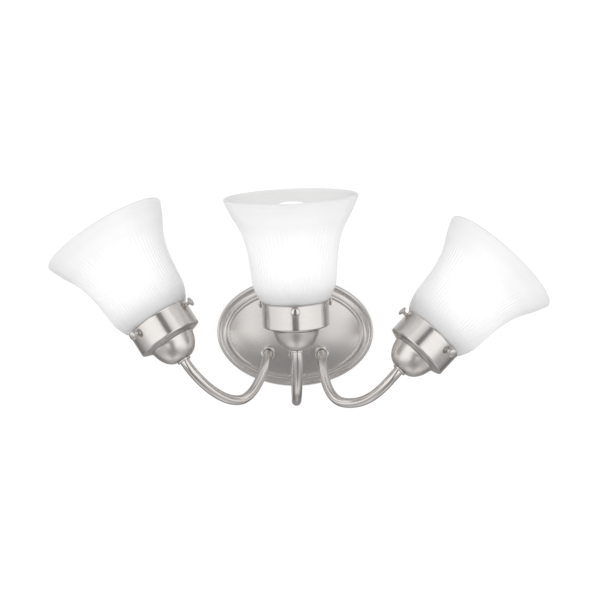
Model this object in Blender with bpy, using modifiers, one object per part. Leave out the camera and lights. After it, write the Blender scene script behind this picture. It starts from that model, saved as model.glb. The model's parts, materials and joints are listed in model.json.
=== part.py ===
"""Three-light vanity bar: an oval wall plate, three bent tube arms, and on each arm a
spun cup with a shade holder, a lamp socket, a bulb and a flared glass shade.

Frame: +X to the right, +Z up, the wall is the plane y = 0 and the room is at -Y.
The origin is the centre of the backplate's back plane. Sizes are in metres.
"""
import math

import bmesh
import bpy
from mathutils import Matrix, Vector
from mathutils.geometry import interpolate_bezier

MM = 0.001
GAP = 0.3 * MM                      # kept between pieces that touch

# ---- driving dimensions -------------------------------------------------------------
PLATE_HALF_W = 78.5 * MM            # oval backplate
PLATE_HALF_H = 55.5 * MM
PLATE_WALL = 0.8 * MM
FIELD_INSET = 13.5 * MM             # from the plate's edge to its domed inner field
FIELD_EDGE_DEPTH = 10.2 * MM
FIELD_RISE = 7.0 * MM
HOLE_DEPTHS = (4.0 * MM, 26.0 * MM)  # plate holes are cut from here to here

TUBE_R = 4.75 * MM                  # 9.5 mm arm tube
TUBE_WALL = 0.8 * MM
HOLE_R = TUBE_R + GAP
ARM_EXIT_Z = -19.2 * MM             # height of the three arm holes on the plate
ARM_TAIL_Y = -8.0 * MM              # the arm's end behind the plate
ARM_FREE_Y = -22.0 * MM             # here the tube starts to bend

HOLDER_R = 31.3 * MM                # shade holder for a 57 mm fitter
HOLDER_H = 23.5 * MM
SHEET = 0.9 * MM                    # spun metal of holder and cup
FLOOR_Z = -3.1 * MM                 # under side of the holder's floor
CUP_BOTTOM_Z = -22.6 * MM
COLLAR_Z = (-24.9 * MM, -22.9 * MM)
TUBE_TIP_Z = 1.5 * MM               # the arm's tip, inside the socket's foot

SHADE_BOTTOM_Z = 0.3 * MM
SHADE_H = 120.6 * MM                # mouth plane above the holder's lower edge
SHADE_RIM_R = 62.6 * MM
GLASS = 3.0 * MM

SCREW_Z = 18.4 * MM                 # thumb screws, above the holder's lower edge
SCREW_R = 1.8 * MM
SCREW_HEAD_R = 4.3 * MM
SCREW_TIP = 28.35 * MM              # distances from the cup's axis
SCREW_HEAD = (36.1 * MM, 38.5 * MM)

BULB_TIP_Z = 8.5 * MM
BULB_TOP_Z = 115.0 * MM
BULB_WALL = 0.7 * MM
CAP_R = 13.0 * MM                   # 26 mm screw cap
CAP_TOP_Z = 33.2 * MM

SOCKET_R = 18.6 * MM
SOCKET_BORE_R = 14.2 * MM
SOCKET_TOP_Z = 31.0 * MM
SOCKET_FLOOR_Z = (3.0 * MM, 5.6 * MM)
SHELL_R = (13.9 * MM, 13.3 * MM)
SHELL_Z = (30.0 * MM, 10.0 * MM)
LEAD_HOLE_R = 2.6 * MM

FERRULE_R = (5.9 * MM, 6.9 * MM)    # front edge and body
FERRULE_H = 5.0 * MM
COLLAR_R = (6.6 * MM, 7.0 * MM)
ARM_NUT = (7.3 * MM, 3.0 * MM)      # over the corners, height
CUP_NUT = (7.0 * MM, 3.5 * MM)
LOCK_NUT = (8.0 * MM, 3.4 * MM)

# Each light: where its arm leaves the plate, the low point of its bend and the way it
# runs there in plan, the handle lengths of its two curves, and the cup's place and
# lean. tilt is from upright to the right, back is from upright towards the wall.
LIGHTS = {
    "left": dict(exit_x=-27.1, low=(-53.2, -76.5, -52.8), heading=217.0,
                 handles=(21, 21, 24, 17), cup=(-118.1, -97.4, 11.5),
                 tilt=-34.0, back=15.5, first_screw=-10.0),
    "centre": dict(exit_x=0.0, low=(1.4, -78.0, -52.3), heading=270.0,
                   handles=(24, 22, 27, 30), cup=(1.3, -127.0, 30.8),
                   tilt=-2.4, back=0.0, first_screw=-90.0),
    "right": dict(exit_x=26.6, low=(48.2, -77.2, -55.4), heading=332.0,
                  handles=(22, 24, 28, 19), cup=(115.4, -97.4, -0.8),
                  tilt=44.8, back=14.3, first_screw=-57.0),
}

# ---- materials: base colour, roughness, metallic ---------------------------------------
FINISHES = {
    "brushed_nickel": ((0.62, 0.60, 0.57), 0.34, 1.0),
    "etched_glass": ((0.93, 0.93, 0.92), 0.55, 0.0),
    "bulb_glass": ((0.98, 0.97, 0.93), 0.40, 0.0),
    "plated_brass": ((0.78, 0.66, 0.38), 0.35, 1.0),
    "zinc_steel": ((0.66, 0.67, 0.69), 0.42, 1.0),
    "aluminium_cap": ((0.78, 0.79, 0.80), 0.38, 1.0),
    "phenolic_white": ((0.90, 0.89, 0.86), 0.30, 0.0),
    "green_screw": ((0.10, 0.38, 0.16), 0.40, 0.6),
    "lead_jacket": ((0.86, 0.85, 0.80), 0.55, 0.0),
    "connector_plastic": ((0.80, 0.45, 0.10), 0.45, 0.0),
}


def clear_scene():
    for obj in list(bpy.data.objects):
        bpy.data.objects.remove(obj)


def make_collection(name):
    coll = bpy.data.collections.new(name)
    bpy.context.scene.collection.children.link(coll)
    return coll


def make_material(name):
    colour, roughness, metallic = FINISHES[name]
    mat = bpy.data.materials.new(name)
    mat.use_nodes = True
    shader = mat.node_tree.nodes["Principled BSDF"]
    shader.inputs["Base Color"].default_value = (*colour, 1.0)
    shader.inputs["Roughness"].default_value = roughness
    shader.inputs["Metallic"].default_value = metallic
    return mat


def finish_mesh(mesh):
    mesh.shade_smooth()
    mesh.set_sharp_from_angle(angle=math.radians(35))


def add_object(name, data, finish, matrix=None):
    obj = bpy.data.objects.new(name, data)
    PARTS.objects.link(obj)
    data.materials.append(MATERIALS[finish])
    if matrix is not None:
        obj.matrix_world = matrix
    return obj


def add_cutter(name, mesh, matrix):
    obj = bpy.data.objects.new(name, mesh)
    CUTTERS.objects.link(obj)
    obj.matrix_world = matrix
    obj.hide_render = True
    obj.display_type = "WIRE"
    return obj


def cut(obj, cutter):
    mod = obj.modifiers.new("cut_" + cutter.name, "BOOLEAN")
    mod.operation = "DIFFERENCE"
    mod.solver = "EXACT"
    mod.object = cutter


# ---- shapes ---------------------------------------------------------------------------
def turned(name, outline, finish, matrix, steps=24, closed=True):
    """A turned piece about its own Z axis. The outline is (radius, z), run down the
    outer side and back up the inner side."""
    mesh = bpy.data.meshes.new(name)
    count = len(outline)
    edges = [(i, i + 1) for i in range(count - 1)]
    if closed:
        edges.append((count - 1, 0))
    mesh.from_pydata([(r, 0.0, z) for r, z in outline], edges, [])
    obj = add_object(name, mesh, finish, matrix)
    screw = obj.modifiers.new("turn", "SCREW")
    screw.axis = "Z"
    screw.steps = steps
    screw.render_steps = steps
    screw.use_merge_vertices = True
    screw.merge_threshold = 0.00001
    screw.use_smooth_shade = True
    return obj


def cylinder_mesh(name, radius, z_low, z_high, sides=16):
    mesh = bpy.data.meshes.new(name)
    bm = bmesh.new()
    bmesh.ops.create_cone(bm, cap_ends=True, segments=sides, radius1=radius,
                          radius2=radius, depth=z_high - z_low)
    bmesh.ops.translate(bm, verts=bm.verts, vec=(0.0, 0.0, (z_high + z_low) / 2))
    bm.to_mesh(mesh)
    bm.free()
    return mesh


def box_mesh(name, size):
    mesh = bpy.data.meshes.new(name)
    bm = bmesh.new()
    bmesh.ops.create_cube(bm, size=1.0)
    bmesh.ops.scale(bm, verts=bm.verts, vec=size)
    bm.to_mesh(mesh)
    bm.free()
    return mesh


def tube(name, points, radius, finish, wall=None, roundness=2):
    """A bent tube or wire through points; with a wall it is hollow and open-ended."""
    curve = bpy.data.curves.new(name, "CURVE")
    curve.dimensions = "3D"
    curve.bevel_depth = radius
    curve.bevel_resolution = roundness
    curve.use_fill_caps = wall is None
    spline = curve.splines.new("POLY")
    spline.points.add(len(points) - 1)
    for point, place in zip(spline.points, points):
        point.co = (*place, 1.0)
    obj = add_object(name, curve, finish)
    if wall is not None:
        solidify = obj.modifiers.new("wall", "SOLIDIFY")
        solidify.thickness = wall
        solidify.offset = -1.0
    return obj


def smooth_line(keys, per_span):
    """A smooth line through the keys: each span is a curve whose end slopes follow the
    neighbouring keys."""
    keys = [Vector(key) for key in keys]
    last = len(keys) - 1
    slopes = [(keys[min(i + 1, last)] - keys[max(i - 1, 0)]) / 2 for i in range(last + 1)]
    line = [keys[0]]
    for i in range(last):
        handle_a = keys[i] + slopes[i] / 3
        handle_b = keys[i + 1] - slopes[i + 1] / 3
        line += interpolate_bezier(keys[i], handle_a, handle_b, keys[i + 1], per_span + 1)[1:]
    return line


def inward(outline, thickness):
    """The outline moved by the thickness towards its inner side."""
    moved = []
    last = len(outline) - 1
    for i, (r, z) in enumerate(outline):
        r0, z0 = outline[max(i - 1, 0)]
        r1, z1 = outline[min(i + 1, last)]
        length = math.hypot(r1 - r0, z1 - z0)
        moved.append((r + (z1 - z0) / length * thickness, z - (r1 - r0) / length * thickness))
    return moved


def facing_room(x, y, z):
    """Places a turned piece with its own +Z along the room's -Y."""
    return Matrix.Translation((x, y, z)) @ Matrix.Rotation(math.radians(90), 4, "X")


def cup_axis(light):
    tilt, back = math.radians(light["tilt"]), math.radians(light["back"])
    return Vector((math.sin(tilt) * math.cos(back), math.sin(back),
                   math.cos(tilt) * math.cos(back)))


def cup_frame(light):
    """The cup's own frame: z out of the mouth, y towards the wall."""
    z_axis = cup_axis(light)
    x_axis = Vector((0.0, 1.0, 0.0)).cross(z_axis).normalized()
    y_axis = z_axis.cross(x_axis)
    frame = Matrix((x_axis, y_axis, z_axis)).transposed().to_4x4()
    frame.translation = Vector(light["cup"]) * MM
    return frame


# ---- backplate --------------------------------------------------------------------------
def field_depth(x, z):
    """Depth of the plate's domed field in front of the wall."""
    reach = (x / (PLATE_HALF_W - FIELD_INSET)) ** 2 + (z / (PLATE_HALF_H - FIELD_INSET)) ** 2
    return FIELD_EDGE_DEPTH + FIELD_RISE * (1.0 - reach)


def plate_rings():
    """(half width, half height, depth) of each ring, from the field's centre outwards."""
    rings = []
    for k in (0.45, 0.8):
        rings.append((k * (PLATE_HALF_W - FIELD_INSET), k * (PLATE_HALF_H - FIELD_INSET),
                      FIELD_EDGE_DEPTH + FIELD_RISE * (1.0 - k * k)))
    # bead, step down, hollow band, rolled lip and the edge down to the wall
    section = ((13.5, 10.2), (11.8, 11.0), (9.4, 6.6), (5.6, 5.3), (1.6, 5.2),
               (0.2, 3.4), (0.0, 0.0))
    for inset, depth in section:
        rings.append((PLATE_HALF_W - inset * MM, PLATE_HALF_H - inset * MM, depth * MM))
    return rings


def oval_shell(name, rings, centre_depth, sides=32):
    mesh = bpy.data.meshes.new(name)
    bm = bmesh.new()
    centre = bm.verts.new((0.0, -centre_depth, 0.0))
    loops = []
    for half_w, half_h, depth in rings:
        turn = [2 * math.pi * i / sides for i in range(sides)]
        loops.append([bm.verts.new((half_w * math.cos(a), -depth, half_h * math.sin(a)))
                      for a in turn])
    for i in range(sides):
        j = (i + 1) % sides
        bm.faces.new((centre, loops[0][i], loops[0][j]))
        for inner, outer in zip(loops, loops[1:]):
            bm.faces.new((inner[i], outer[i], outer[j], inner[j]))
    bmesh.ops.recalc_face_normals(bm, faces=bm.faces)
    bm.to_mesh(mesh)
    bm.free()
    return mesh


def build_backplate():
    mesh = oval_shell("backplate", plate_rings(), FIELD_EDGE_DEPTH + FIELD_RISE)
    plate = add_object("backplate", mesh, "brushed_nickel")
    wall = plate.modifiers.new("wall", "SOLIDIFY")
    wall.thickness = PLATE_WALL
    wall.offset = -1.0
    wall.use_even_offset = True
    for name, light in LIGHTS.items():
        hole = cylinder_mesh("hole", HOLE_R, *HOLE_DEPTHS)
        cut(plate, add_cutter("plate_hole_" + name, hole,
                              facing_room(light["exit_x"] * MM, 0.0, ARM_EXIT_Z)))
    hole = cylinder_mesh("hole", NIPPLE_R + GAP, *HOLE_DEPTHS)
    cut(plate, add_cutter("plate_hole_nipple", hole, facing_room(0.0, 0.0, 0.0)))
    return plate


# ---- fixing behind the plate -------------------------------------------------------------
NIPPLE_R = 4.9 * MM
NIPPLE_BORE_R = 3.7 * MM
NIPPLE_LENGTH = 22.0 * MM
BAR_SIZE = (102.0 * MM, 1.6 * MM, 20.0 * MM)
BAR_SLOT = (14.0 * MM, 6.0 * MM, 4.6 * MM)
BAR_SLOT_X = 40.0 * MM
BAR_CUT = (-3.0 * MM, 3.0 * MM)
GROUND_SCREW = (24.0 * MM, 5.0 * MM)
GROUND_HOLE_R = 2.1 * MM
LOCK_NUT_Y = -1.9 * MM
CAP_NUT_H = 9.6 * MM
CONNECTOR_PLACE = (25.5 * MM, -7.0 * MM, 18.0 * MM)


def hex_ring(name, finish, matrix, corner_r, bore_r, height):
    """A hexagon nut: six sides outside, a round bore."""
    obj = add_object(name, cylinder_mesh(name, corner_r, 0.0, height, 6), finish, matrix)
    cut(obj, add_cutter(name + "_bore", cylinder_mesh("bore", bore_r, -MM, height + MM), matrix))
    return obj


def build_fixing():
    wall_frame = Matrix.Translation((0.0, -BAR_SIZE[1] / 2, 0.0))
    bar = add_object("crossbar", box_mesh("crossbar", BAR_SIZE), "zinc_steel", wall_frame)
    for side, x in (("left", -BAR_SLOT_X), ("right", BAR_SLOT_X)):
        cut(bar, add_cutter("slot_" + side, box_mesh("slot", BAR_SLOT),
                            Matrix.Translation((x, 0.0, 0.0))))
    hole = cylinder_mesh("hole", NIPPLE_R + GAP, *BAR_CUT)
    cut(bar, add_cutter("bar_hole_nipple", hole, facing_room(0.0, 0.0, 0.0)))
    ground_x, ground_z = GROUND_SCREW
    hole = cylinder_mesh("hole", GROUND_HOLE_R, *BAR_CUT, 12)
    cut(bar, add_cutter("bar_hole_ground", hole, facing_room(ground_x, 0.0, ground_z)))

    turned("centre_nipple", [(NIPPLE_R, NIPPLE_LENGTH), (NIPPLE_R, 0.0),
                             (NIPPLE_BORE_R, 0.0), (NIPPLE_BORE_R, NIPPLE_LENGTH)],
           "zinc_steel", facing_room(0.0, 0.0, 0.0), 16)
    hex_ring("nipple_lock_nut", "zinc_steel", facing_room(0.0, LOCK_NUT_Y, 0.0),
             LOCK_NUT[0], NIPPLE_R + GAP, LOCK_NUT[1])
    # cap nut: closed dome in front, bore open to the back
    bore_r, deep = NIPPLE_R + GAP, NIPPLE_LENGTH + GAP
    base = FIELD_EDGE_DEPTH + FIELD_RISE + GAP
    turned("plate_cap_nut",
           [(0.0, base + CAP_NUT_H), (3.4 * MM, base + 9.0 * MM), (6.2 * MM, base + 6.9 * MM),
            (7.4 * MM, base + 3.8 * MM), (7.5 * MM, base), (bore_r, base), (bore_r, deep),
            (0.0, deep)],
           "brushed_nickel", facing_room(0.0, 0.0, 0.0), 16, closed=False)
    turned("ground_screw",
           [(0.0, 4.3 * MM), (2.4 * MM, 4.2 * MM), (3.7 * MM, 3.4 * MM), (3.7 * MM, 1.9 * MM),
            (1.8 * MM, 1.9 * MM), (1.8 * MM, 0.3 * MM), (0.0, 0.3 * MM)],
           "green_screw", facing_room(ground_x, 0.0, ground_z), 12, closed=False)
    # twist-on wire connectors lie along X with their mouths towards the middle
    for name, side in (("left", -1.0), ("right", 1.0)):
        x, y, z = CONNECTOR_PLACE
        place = Matrix.Translation((side * x, y, z))
        place = place @ Matrix.Rotation(side * math.radians(90), 4, "Y")
        turned("wire_connector_" + name,
               [(0.0, 19.0 * MM), (2.6 * MM, 18.4 * MM), (4.0 * MM, 8.0 * MM),
                (5.0 * MM, 0.4 * MM), (4.7 * MM, 0.0), (4.1 * MM, 0.0), (2.9 * MM, 9.0 * MM),
                (0.0, 10.0 * MM)],
               "connector_plastic", place, 12, closed=False)


# ---- one light ----------------------------------------------------------------------------
def arm_points(light):
    """The arm's centre line: straight out of the plate, down and along a double curve,
    and straight up into the cup."""
    axis = cup_axis(light)
    exit_x = light["exit_x"] * MM
    start = Vector((exit_x, ARM_FREE_Y, ARM_EXIT_Z))
    low = Vector(light["low"]) * MM
    end = Vector(light["cup"]) * MM + axis * COLLAR_Z[0]
    heading = math.radians(light["heading"])
    along = Vector((math.cos(heading), math.sin(heading), 0.0))
    out, back, on, up = [length * MM for length in light["handles"]]
    first = interpolate_bezier(start, start + Vector((0.0, -out, 0.0)), low - along * back,
                               low, 12)
    second = interpolate_bezier(low, low + along * on, end - axis * up, end, 12)
    tail = Vector((exit_x, ARM_TAIL_Y, ARM_EXIT_Z))
    tip = Vector(light["cup"]) * MM + axis * TUBE_TIP_Z
    return [tail] + first + second[1:] + [tip]


def build_arm(name, light):
    points = arm_points(light)
    tube("arm_" + name, points, TUBE_R, "brushed_nickel", wall=TUBE_WALL)
    exit_x = light["exit_x"] * MM
    surface = field_depth(exit_x, ARM_EXIT_Z)
    seat = facing_room(exit_x, 0.0, ARM_EXIT_Z)
    # the ferrule is turned longer than needed and its back is cut to the plate's dome
    front, back = surface + FERRULE_H, surface - 4.0 * MM
    neck_r, body_r = FERRULE_R
    ferrule = turned("ferrule_" + name,
                     [(neck_r, front), (neck_r, front - 2.0 * MM), (body_r, front - 2.6 * MM),
                      (body_r, back), (HOLE_R, back), (HOLE_R, front)],
                     "brushed_nickel", seat, 16)
    rings = [(w, h, depth + GAP) for w, h, depth in plate_rings()[:3]]
    block = oval_shell("block", rings, FIELD_EDGE_DEPTH + FIELD_RISE + GAP)
    close_back(block, FIELD_EDGE_DEPTH - 4.0 * MM)
    cut(ferrule, add_cutter("plate_form_" + name, block, Matrix.Identity(4)))
    # the nut's face clears the sloping inside of the dome at its corners
    nut_front = surface - PLATE_WALL - 1.6 * MM
    corner_r, height = ARM_NUT
    hex_ring("arm_nut_" + name, "zinc_steel", facing_room(exit_x, height - nut_front, ARM_EXIT_Z),
             corner_r, HOLE_R, height)
    return points


def close_back(mesh, depth):
    """Closes an oval shell with straight sides back to the given depth."""
    bm = bmesh.new()
    bm.from_mesh(mesh)
    rim = [edge for edge in bm.edges if edge.is_boundary]
    made = bmesh.ops.extrude_edge_only(bm, edges=rim)["geom"]
    for item in made:
        if isinstance(item, bmesh.types.BMVert):
            item.co.y = -depth
    bmesh.ops.holes_fill(bm, edges=[edge for edge in bm.edges if edge.is_boundary])
    bmesh.ops.recalc_face_normals(bm, faces=bm.faces)
    bm.to_mesh(mesh)
    bm.free()


def build_cup(name, frame):
    cone_r, flat_r = 30.3 * MM, 23.4 * MM
    outer = [(HOLDER_R, HOLDER_H), (HOLDER_R, 1.0 * MM), (cone_r, 0.0), (flat_r, -2.7 * MM),
             (22.2 * MM, FLOOR_Z), (HOLE_R, FLOOR_Z)]
    inner = [(HOLE_R, FLOOR_Z + SHEET), (22.0 * MM, FLOOR_Z + SHEET),
             (flat_r, -1.8 * MM), (HOLDER_R - SHEET, 0.9 * MM), (HOLDER_R - SHEET, HOLDER_H)]
    holder = turned("shade_holder_" + name, outer + inner, "brushed_nickel", frame)
    for i, turn in enumerate(screw_turns(name)):
        hole = cylinder_mesh("hole", SCREW_R + GAP, 29 * MM, 33 * MM, 10)
        cut(holder, add_cutter("screw_hole_%s_%d" % (name, i + 1), hole,
                               frame @ screw_frame(turn)))
    dome = [(21.8, -3.4), (20.6, -7.0), (18.8, -12.8), (15.6, -18.0), (11.8, -21.2),
            (8.0, -22.6)]
    dome = [(r * MM, z * MM) for r, z in dome] + [(HOLE_R, CUP_BOTTOM_Z)]
    dome_inner = inward(dome, SHEET)
    dome_inner[0] = (dome[0][0] - SHEET, dome[0][1])
    dome_inner[-1] = (HOLE_R, CUP_BOTTOM_Z + SHEET)
    turned("cup_" + name, dome + dome_inner[::-1], "brushed_nickel", frame, 20)
    low, high = COLLAR_Z
    edge_r, middle_r = COLLAR_R
    turned("collar_" + name, [(edge_r, high), (middle_r, (low + high) / 2), (edge_r, low),
                              (HOLE_R, low), (HOLE_R, high)], "brushed_nickel", frame, 16)
    hex_ring("cup_nut_" + name, "zinc_steel",
             frame @ Matrix.Translation((0.0, 0.0, CUP_BOTTOM_Z + SHEET + GAP)),
             CUP_NUT[0], HOLE_R, CUP_NUT[1])


def build_socket(name, frame):
    foot, foot_r = FLOOR_Z + SHEET + GAP, 14.5 * MM
    under, floor = SOCKET_FLOOR_Z
    turned("socket_" + name,
           [(SOCKET_R, SOCKET_TOP_Z), (SOCKET_R, 5.0 * MM), (foot_r, 0.5 * MM), (foot_r, foot),
            (HOLE_R, foot), (HOLE_R, under), (LEAD_HOLE_R, under), (LEAD_HOLE_R, floor),
            (SOCKET_BORE_R, floor), (SOCKET_BORE_R, SOCKET_TOP_Z)],
           "phenolic_white", frame, 16)
    outer_r, inner_r = SHELL_R
    top, bottom = SHELL_Z
    turned("socket_shell_" + name,
           [(outer_r, top), (outer_r, bottom), (inner_r, bottom), (inner_r, top)],
           "plated_brass", frame, 16)
    turned("socket_contact_" + name,
           [(0.0, 8.2 * MM), (2.6 * MM, 8.0 * MM), (4.6 * MM, 7.0 * MM), (4.6 * MM, 5.9 * MM),
            (0.0, 5.9 * MM)], "plated_brass", frame, 12, closed=False)


def build_bulb(name, frame):
    cap_bore_r = CAP_R - BULB_WALL
    turned("bulb_cap_" + name,
           [(0.0, BULB_TIP_Z + 2.4 * MM), (10.4 * MM, 15.0 * MM), (cap_bore_r, 17.0 * MM),
            (cap_bore_r, CAP_TOP_Z), (CAP_R, CAP_TOP_Z), (CAP_R, 15.4 * MM),
            (11.0 * MM, 13.2 * MM), (5.0 * MM, 9.8 * MM), (3.6 * MM, BULB_TIP_Z),
            (0.0, BULB_TIP_Z)], "aluminium_cap", frame, 16, closed=False)
    top = BULB_TOP_Z / MM
    outer = [(0.0, top), (11.5, top - 2.3), (21.2, top - 8.8), (27.7, top - 18.5), (30.0, top - 30),
             (28.4, top - 41), (23.4, top - 51), (17.6, top - 61), (13.6, top - 71),
             (12.6, CAP_TOP_Z / MM + 0.3)]
    outer = [(r * MM, z * MM) for r, z in outer]
    inner = inward(outer, BULB_WALL)
    inner[0] = (0.0, BULB_TOP_Z - BULB_WALL)
    inner[-1] = (outer[-1][0] - BULB_WALL, outer[-1][1])
    turned("bulb_" + name, outer + inner[::-1], "bulb_glass", frame, 16, closed=False)


def shade_outline():
    """Outer side of the glass, from the mouth down to the foot."""
    keys = [(28.0, 22.4, 0), (34.4, 28.2, 0), (38.6, 39.5, 0), (40.3, 55, 0), (42.4, 72, 0),
            (47.7, 90.2, 0), (57.0, 107, 0), (SHADE_RIM_R / MM, SHADE_H / MM - 1.4, 0)]
    line = [(point.x * MM, point.y * MM) for point in smooth_line(keys, 1)][::-1]
    return line + [(28.0 * MM, SHADE_BOTTOM_Z)]


def build_shade(name, frame):
    outer = shade_outline()
    inner = inward(outer, GLASS)
    inner[-1] = (outer[-1][0] - GLASS, SHADE_BOTTOM_Z)
    inner[-2] = (outer[-2][0] - GLASS, outer[-2][1] + 0.6 * MM)
    rim = ((outer[0][0] + inner[0][0]) / 2, SHADE_H)
    turned("shade_" + name, [rim] + outer + inner[::-1], "etched_glass", frame)


def screw_turns(name):
    """The three thumb screws stand 120 degrees apart round the holder."""
    first = LIGHTS[name]["first_screw"]
    return [math.radians(first + 120.0 * i) for i in range(3)]


def screw_frame(turn):
    """In the cup's frame: own +Z runs outwards, square to the cup's axis."""
    return (Matrix.Translation((0.0, 0.0, SCREW_Z)) @ Matrix.Rotation(turn, 4, "Z")
            @ Matrix.Rotation(math.radians(90), 4, "Y"))


def build_screws(name, frame):
    under, top = SCREW_HEAD
    outline = [(0.0, top), (SCREW_HEAD_R - 0.7 * MM, top), (SCREW_HEAD_R, top - 0.6 * MM),
               (SCREW_HEAD_R, under), (SCREW_R, under), (SCREW_R, SCREW_TIP), (0.0, SCREW_TIP)]
    for i, turn in enumerate(screw_turns(name)):
        turned("thumb_screw_%s_%d" % (name, i + 1), outline, "brushed_nickel",
               frame @ screw_frame(turn), 10, closed=False)


# The lamp leads run through the arms and meet at the connectors behind the plate.
LEAD_R = 1.7 * MM
LEAD_ENDS = {
    "left": ((-26.8, -5.2, -15.5), (-23.6, -4.6, -7.0), (-19.0, -5.6, 7.0),
             (-20.0, -6.8, 14.6), (-24.9, -7.0, 16.1)),
    "centre": ((-0.9, -5.2, -16.6), (-7.0, -4.6, -12.6), (-13.0, -5.4, -1.0),
               (-14.6, -6.6, 13.0), (-18.8, -7.0, 19.0), (-24.9, -7.0, 20.0)),
    "right": ((26.3, -5.2, -15.5), (23.4, -4.6, -7.0), (19.0, -5.6, 7.0),
              (20.0, -6.8, 14.6), (24.9, -7.0, 16.1)),
}


def build_lead(name, arm_line):
    """From under the socket's contact down through the arm to the connectors."""
    inside = arm_line[::-1]
    ends = [inside[-1]] + [Vector(place) * MM for place in LEAD_ENDS[name]]
    route = inside[:-1:2] + smooth_line([tuple(point) for point in ends], 3)[1:]
    tube("lead_" + name, route, LEAD_R, "lead_jacket", roundness=1)


def build_light(name, light):
    frame = cup_frame(light)
    arm_line = build_arm(name, light)
    build_cup(name, frame)
    build_socket(name, frame)
    build_lead(name, arm_line)
    build_bulb(name, frame)
    build_shade(name, frame)
    build_screws(name, frame)


clear_scene()
PARTS = make_collection("vanity_light_bar")
CUTTERS = make_collection("cutters")
MATERIALS = {name: make_material(name) for name in FINISHES}
build_backplate()
build_fixing()
for light_name, light_data in LIGHTS.items():
    build_light(light_name, light_data)
for part in PARTS.objects:
    if part.type == "MESH":
        finish_mesh(part.data)
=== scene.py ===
# %% [markdown]
# # A vanity bar with three lights
# The real lamp hangs over a bathroom mirror: an oval plate pressed from brushed nickel,
# three bent tubes, and on each tube a spun cup that grips a bell of etched white glass.
# The solids are already fixed, so this script only builds what the eye sees: fine
# turned profiles, ribs in the glass, threads, knurls and the finishes. Sizes are in
# metres, +X is right, +Z is up, the wall is y = 0 and the room is at -Y.

# %% Load the fixed solids
import json
import math

import bmesh
import bpy
import numpy as np
from mathutils import Matrix, Vector
from mathutils.geometry import interpolate_bezier


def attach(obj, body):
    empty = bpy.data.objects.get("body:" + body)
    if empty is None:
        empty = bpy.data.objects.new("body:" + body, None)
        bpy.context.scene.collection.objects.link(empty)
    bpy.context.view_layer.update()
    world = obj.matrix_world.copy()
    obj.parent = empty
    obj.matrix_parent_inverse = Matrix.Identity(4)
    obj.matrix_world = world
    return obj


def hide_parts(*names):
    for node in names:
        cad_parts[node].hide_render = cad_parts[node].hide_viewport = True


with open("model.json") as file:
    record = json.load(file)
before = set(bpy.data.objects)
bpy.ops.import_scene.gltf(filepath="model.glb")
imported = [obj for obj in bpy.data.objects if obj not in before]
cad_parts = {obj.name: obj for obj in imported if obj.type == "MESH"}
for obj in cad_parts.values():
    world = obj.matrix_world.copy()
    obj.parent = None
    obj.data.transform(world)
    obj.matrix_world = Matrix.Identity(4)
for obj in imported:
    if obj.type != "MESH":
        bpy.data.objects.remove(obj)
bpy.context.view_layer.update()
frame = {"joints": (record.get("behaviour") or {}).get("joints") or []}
MM = 0.001
SIDES = ("left", "centre", "right")
joints = {joint["name"]: joint for joint in frame["joints"]}

# %% [markdown]
# ## Camera and room
# The lamp is seen from a little above, from about 1.7 m, through a long lens. The room
# is a light tent: white cloth nearly all round, thinner cloth and a dark card where the
# camera looks in, and a greyer floor. On metal that card is what draws the dark stripe
# down the middle of each cup, so it is built on purpose instead of being left to chance.

# %% Camera
CAMERA_PLACE = Vector((0.004834, -1.6857, 0.3294))
CAMERA_PITCH = math.radians(80.0)      # 90 would be level
CAMERA_LENS = 102.12

camera_data = bpy.data.cameras.new("camera")
camera_data.lens = CAMERA_LENS
camera_data.sensor_width = 36.0
camera_data.clip_end = 20.0
camera = bpy.data.objects.new("camera", camera_data)
camera.location = CAMERA_PLACE
camera.rotation_euler = (CAMERA_PITCH, 0.0, 0.0)
bpy.context.scene.collection.objects.link(camera)
bpy.context.scene.camera = camera
bpy.context.scene.view_settings.view_transform = "Standard"


# %% Small helpers for node trees
def add_node(tree, kind, inputs=None, **settings):
    """A node with its settings. An input is given a fixed value or a link from a socket."""
    node = tree.nodes.new(kind)
    for key, value in settings.items():
        setattr(node, key, value)
    for key, value in (inputs or {}).items():
        if isinstance(value, bpy.types.NodeSocket):
            tree.links.new(value, node.inputs[key])
        elif value is not None:
            node.inputs[key].default_value = value
    return node


def maths(tree, operation, a, b=None, c=None, clamp=False):
    node = add_node(tree, "ShaderNodeMath", {0: a, 1: b, 2: c}, operation=operation, use_clamp=clamp)
    return node.outputs[0]


def product(tree, first, *others):
    for factor in others:
        first = maths(tree, "MULTIPLY", first, factor)
    return first


def ramp(tree, value, low, high, to_low=0.0, to_high=1.0):
    """A smooth step of the value between low and high."""
    return add_node(tree, "ShaderNodeMapRange", {0: value, 1: low, 2: high, 3: to_low, 4: to_high},
                    interpolation_type="SMOOTHSTEP").outputs[0]


def mix_shaders(tree, share, first, second):
    return add_node(tree, "ShaderNodeMixShader", {0: share, 1: first.outputs[0], 2: second.outputs[0]})


def grey(level):
    return (level, level, level, 1.0)


def bare_material(name):
    """A material with an empty tree."""
    material = bpy.data.materials.new(name)
    material.use_nodes = True
    material.node_tree.nodes.clear()
    return material, material.node_tree


# %% Small helpers for objects
def link_object(name, data):
    obj = bpy.data.objects.new(name, data)
    bpy.context.scene.collection.objects.link(obj)
    return obj


def new_object(name, vertices, faces, material):
    mesh = bpy.data.meshes.new(name)
    mesh.from_pydata(vertices, [], faces)
    mesh.materials.append(material)
    return link_object(name, mesh)


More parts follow.
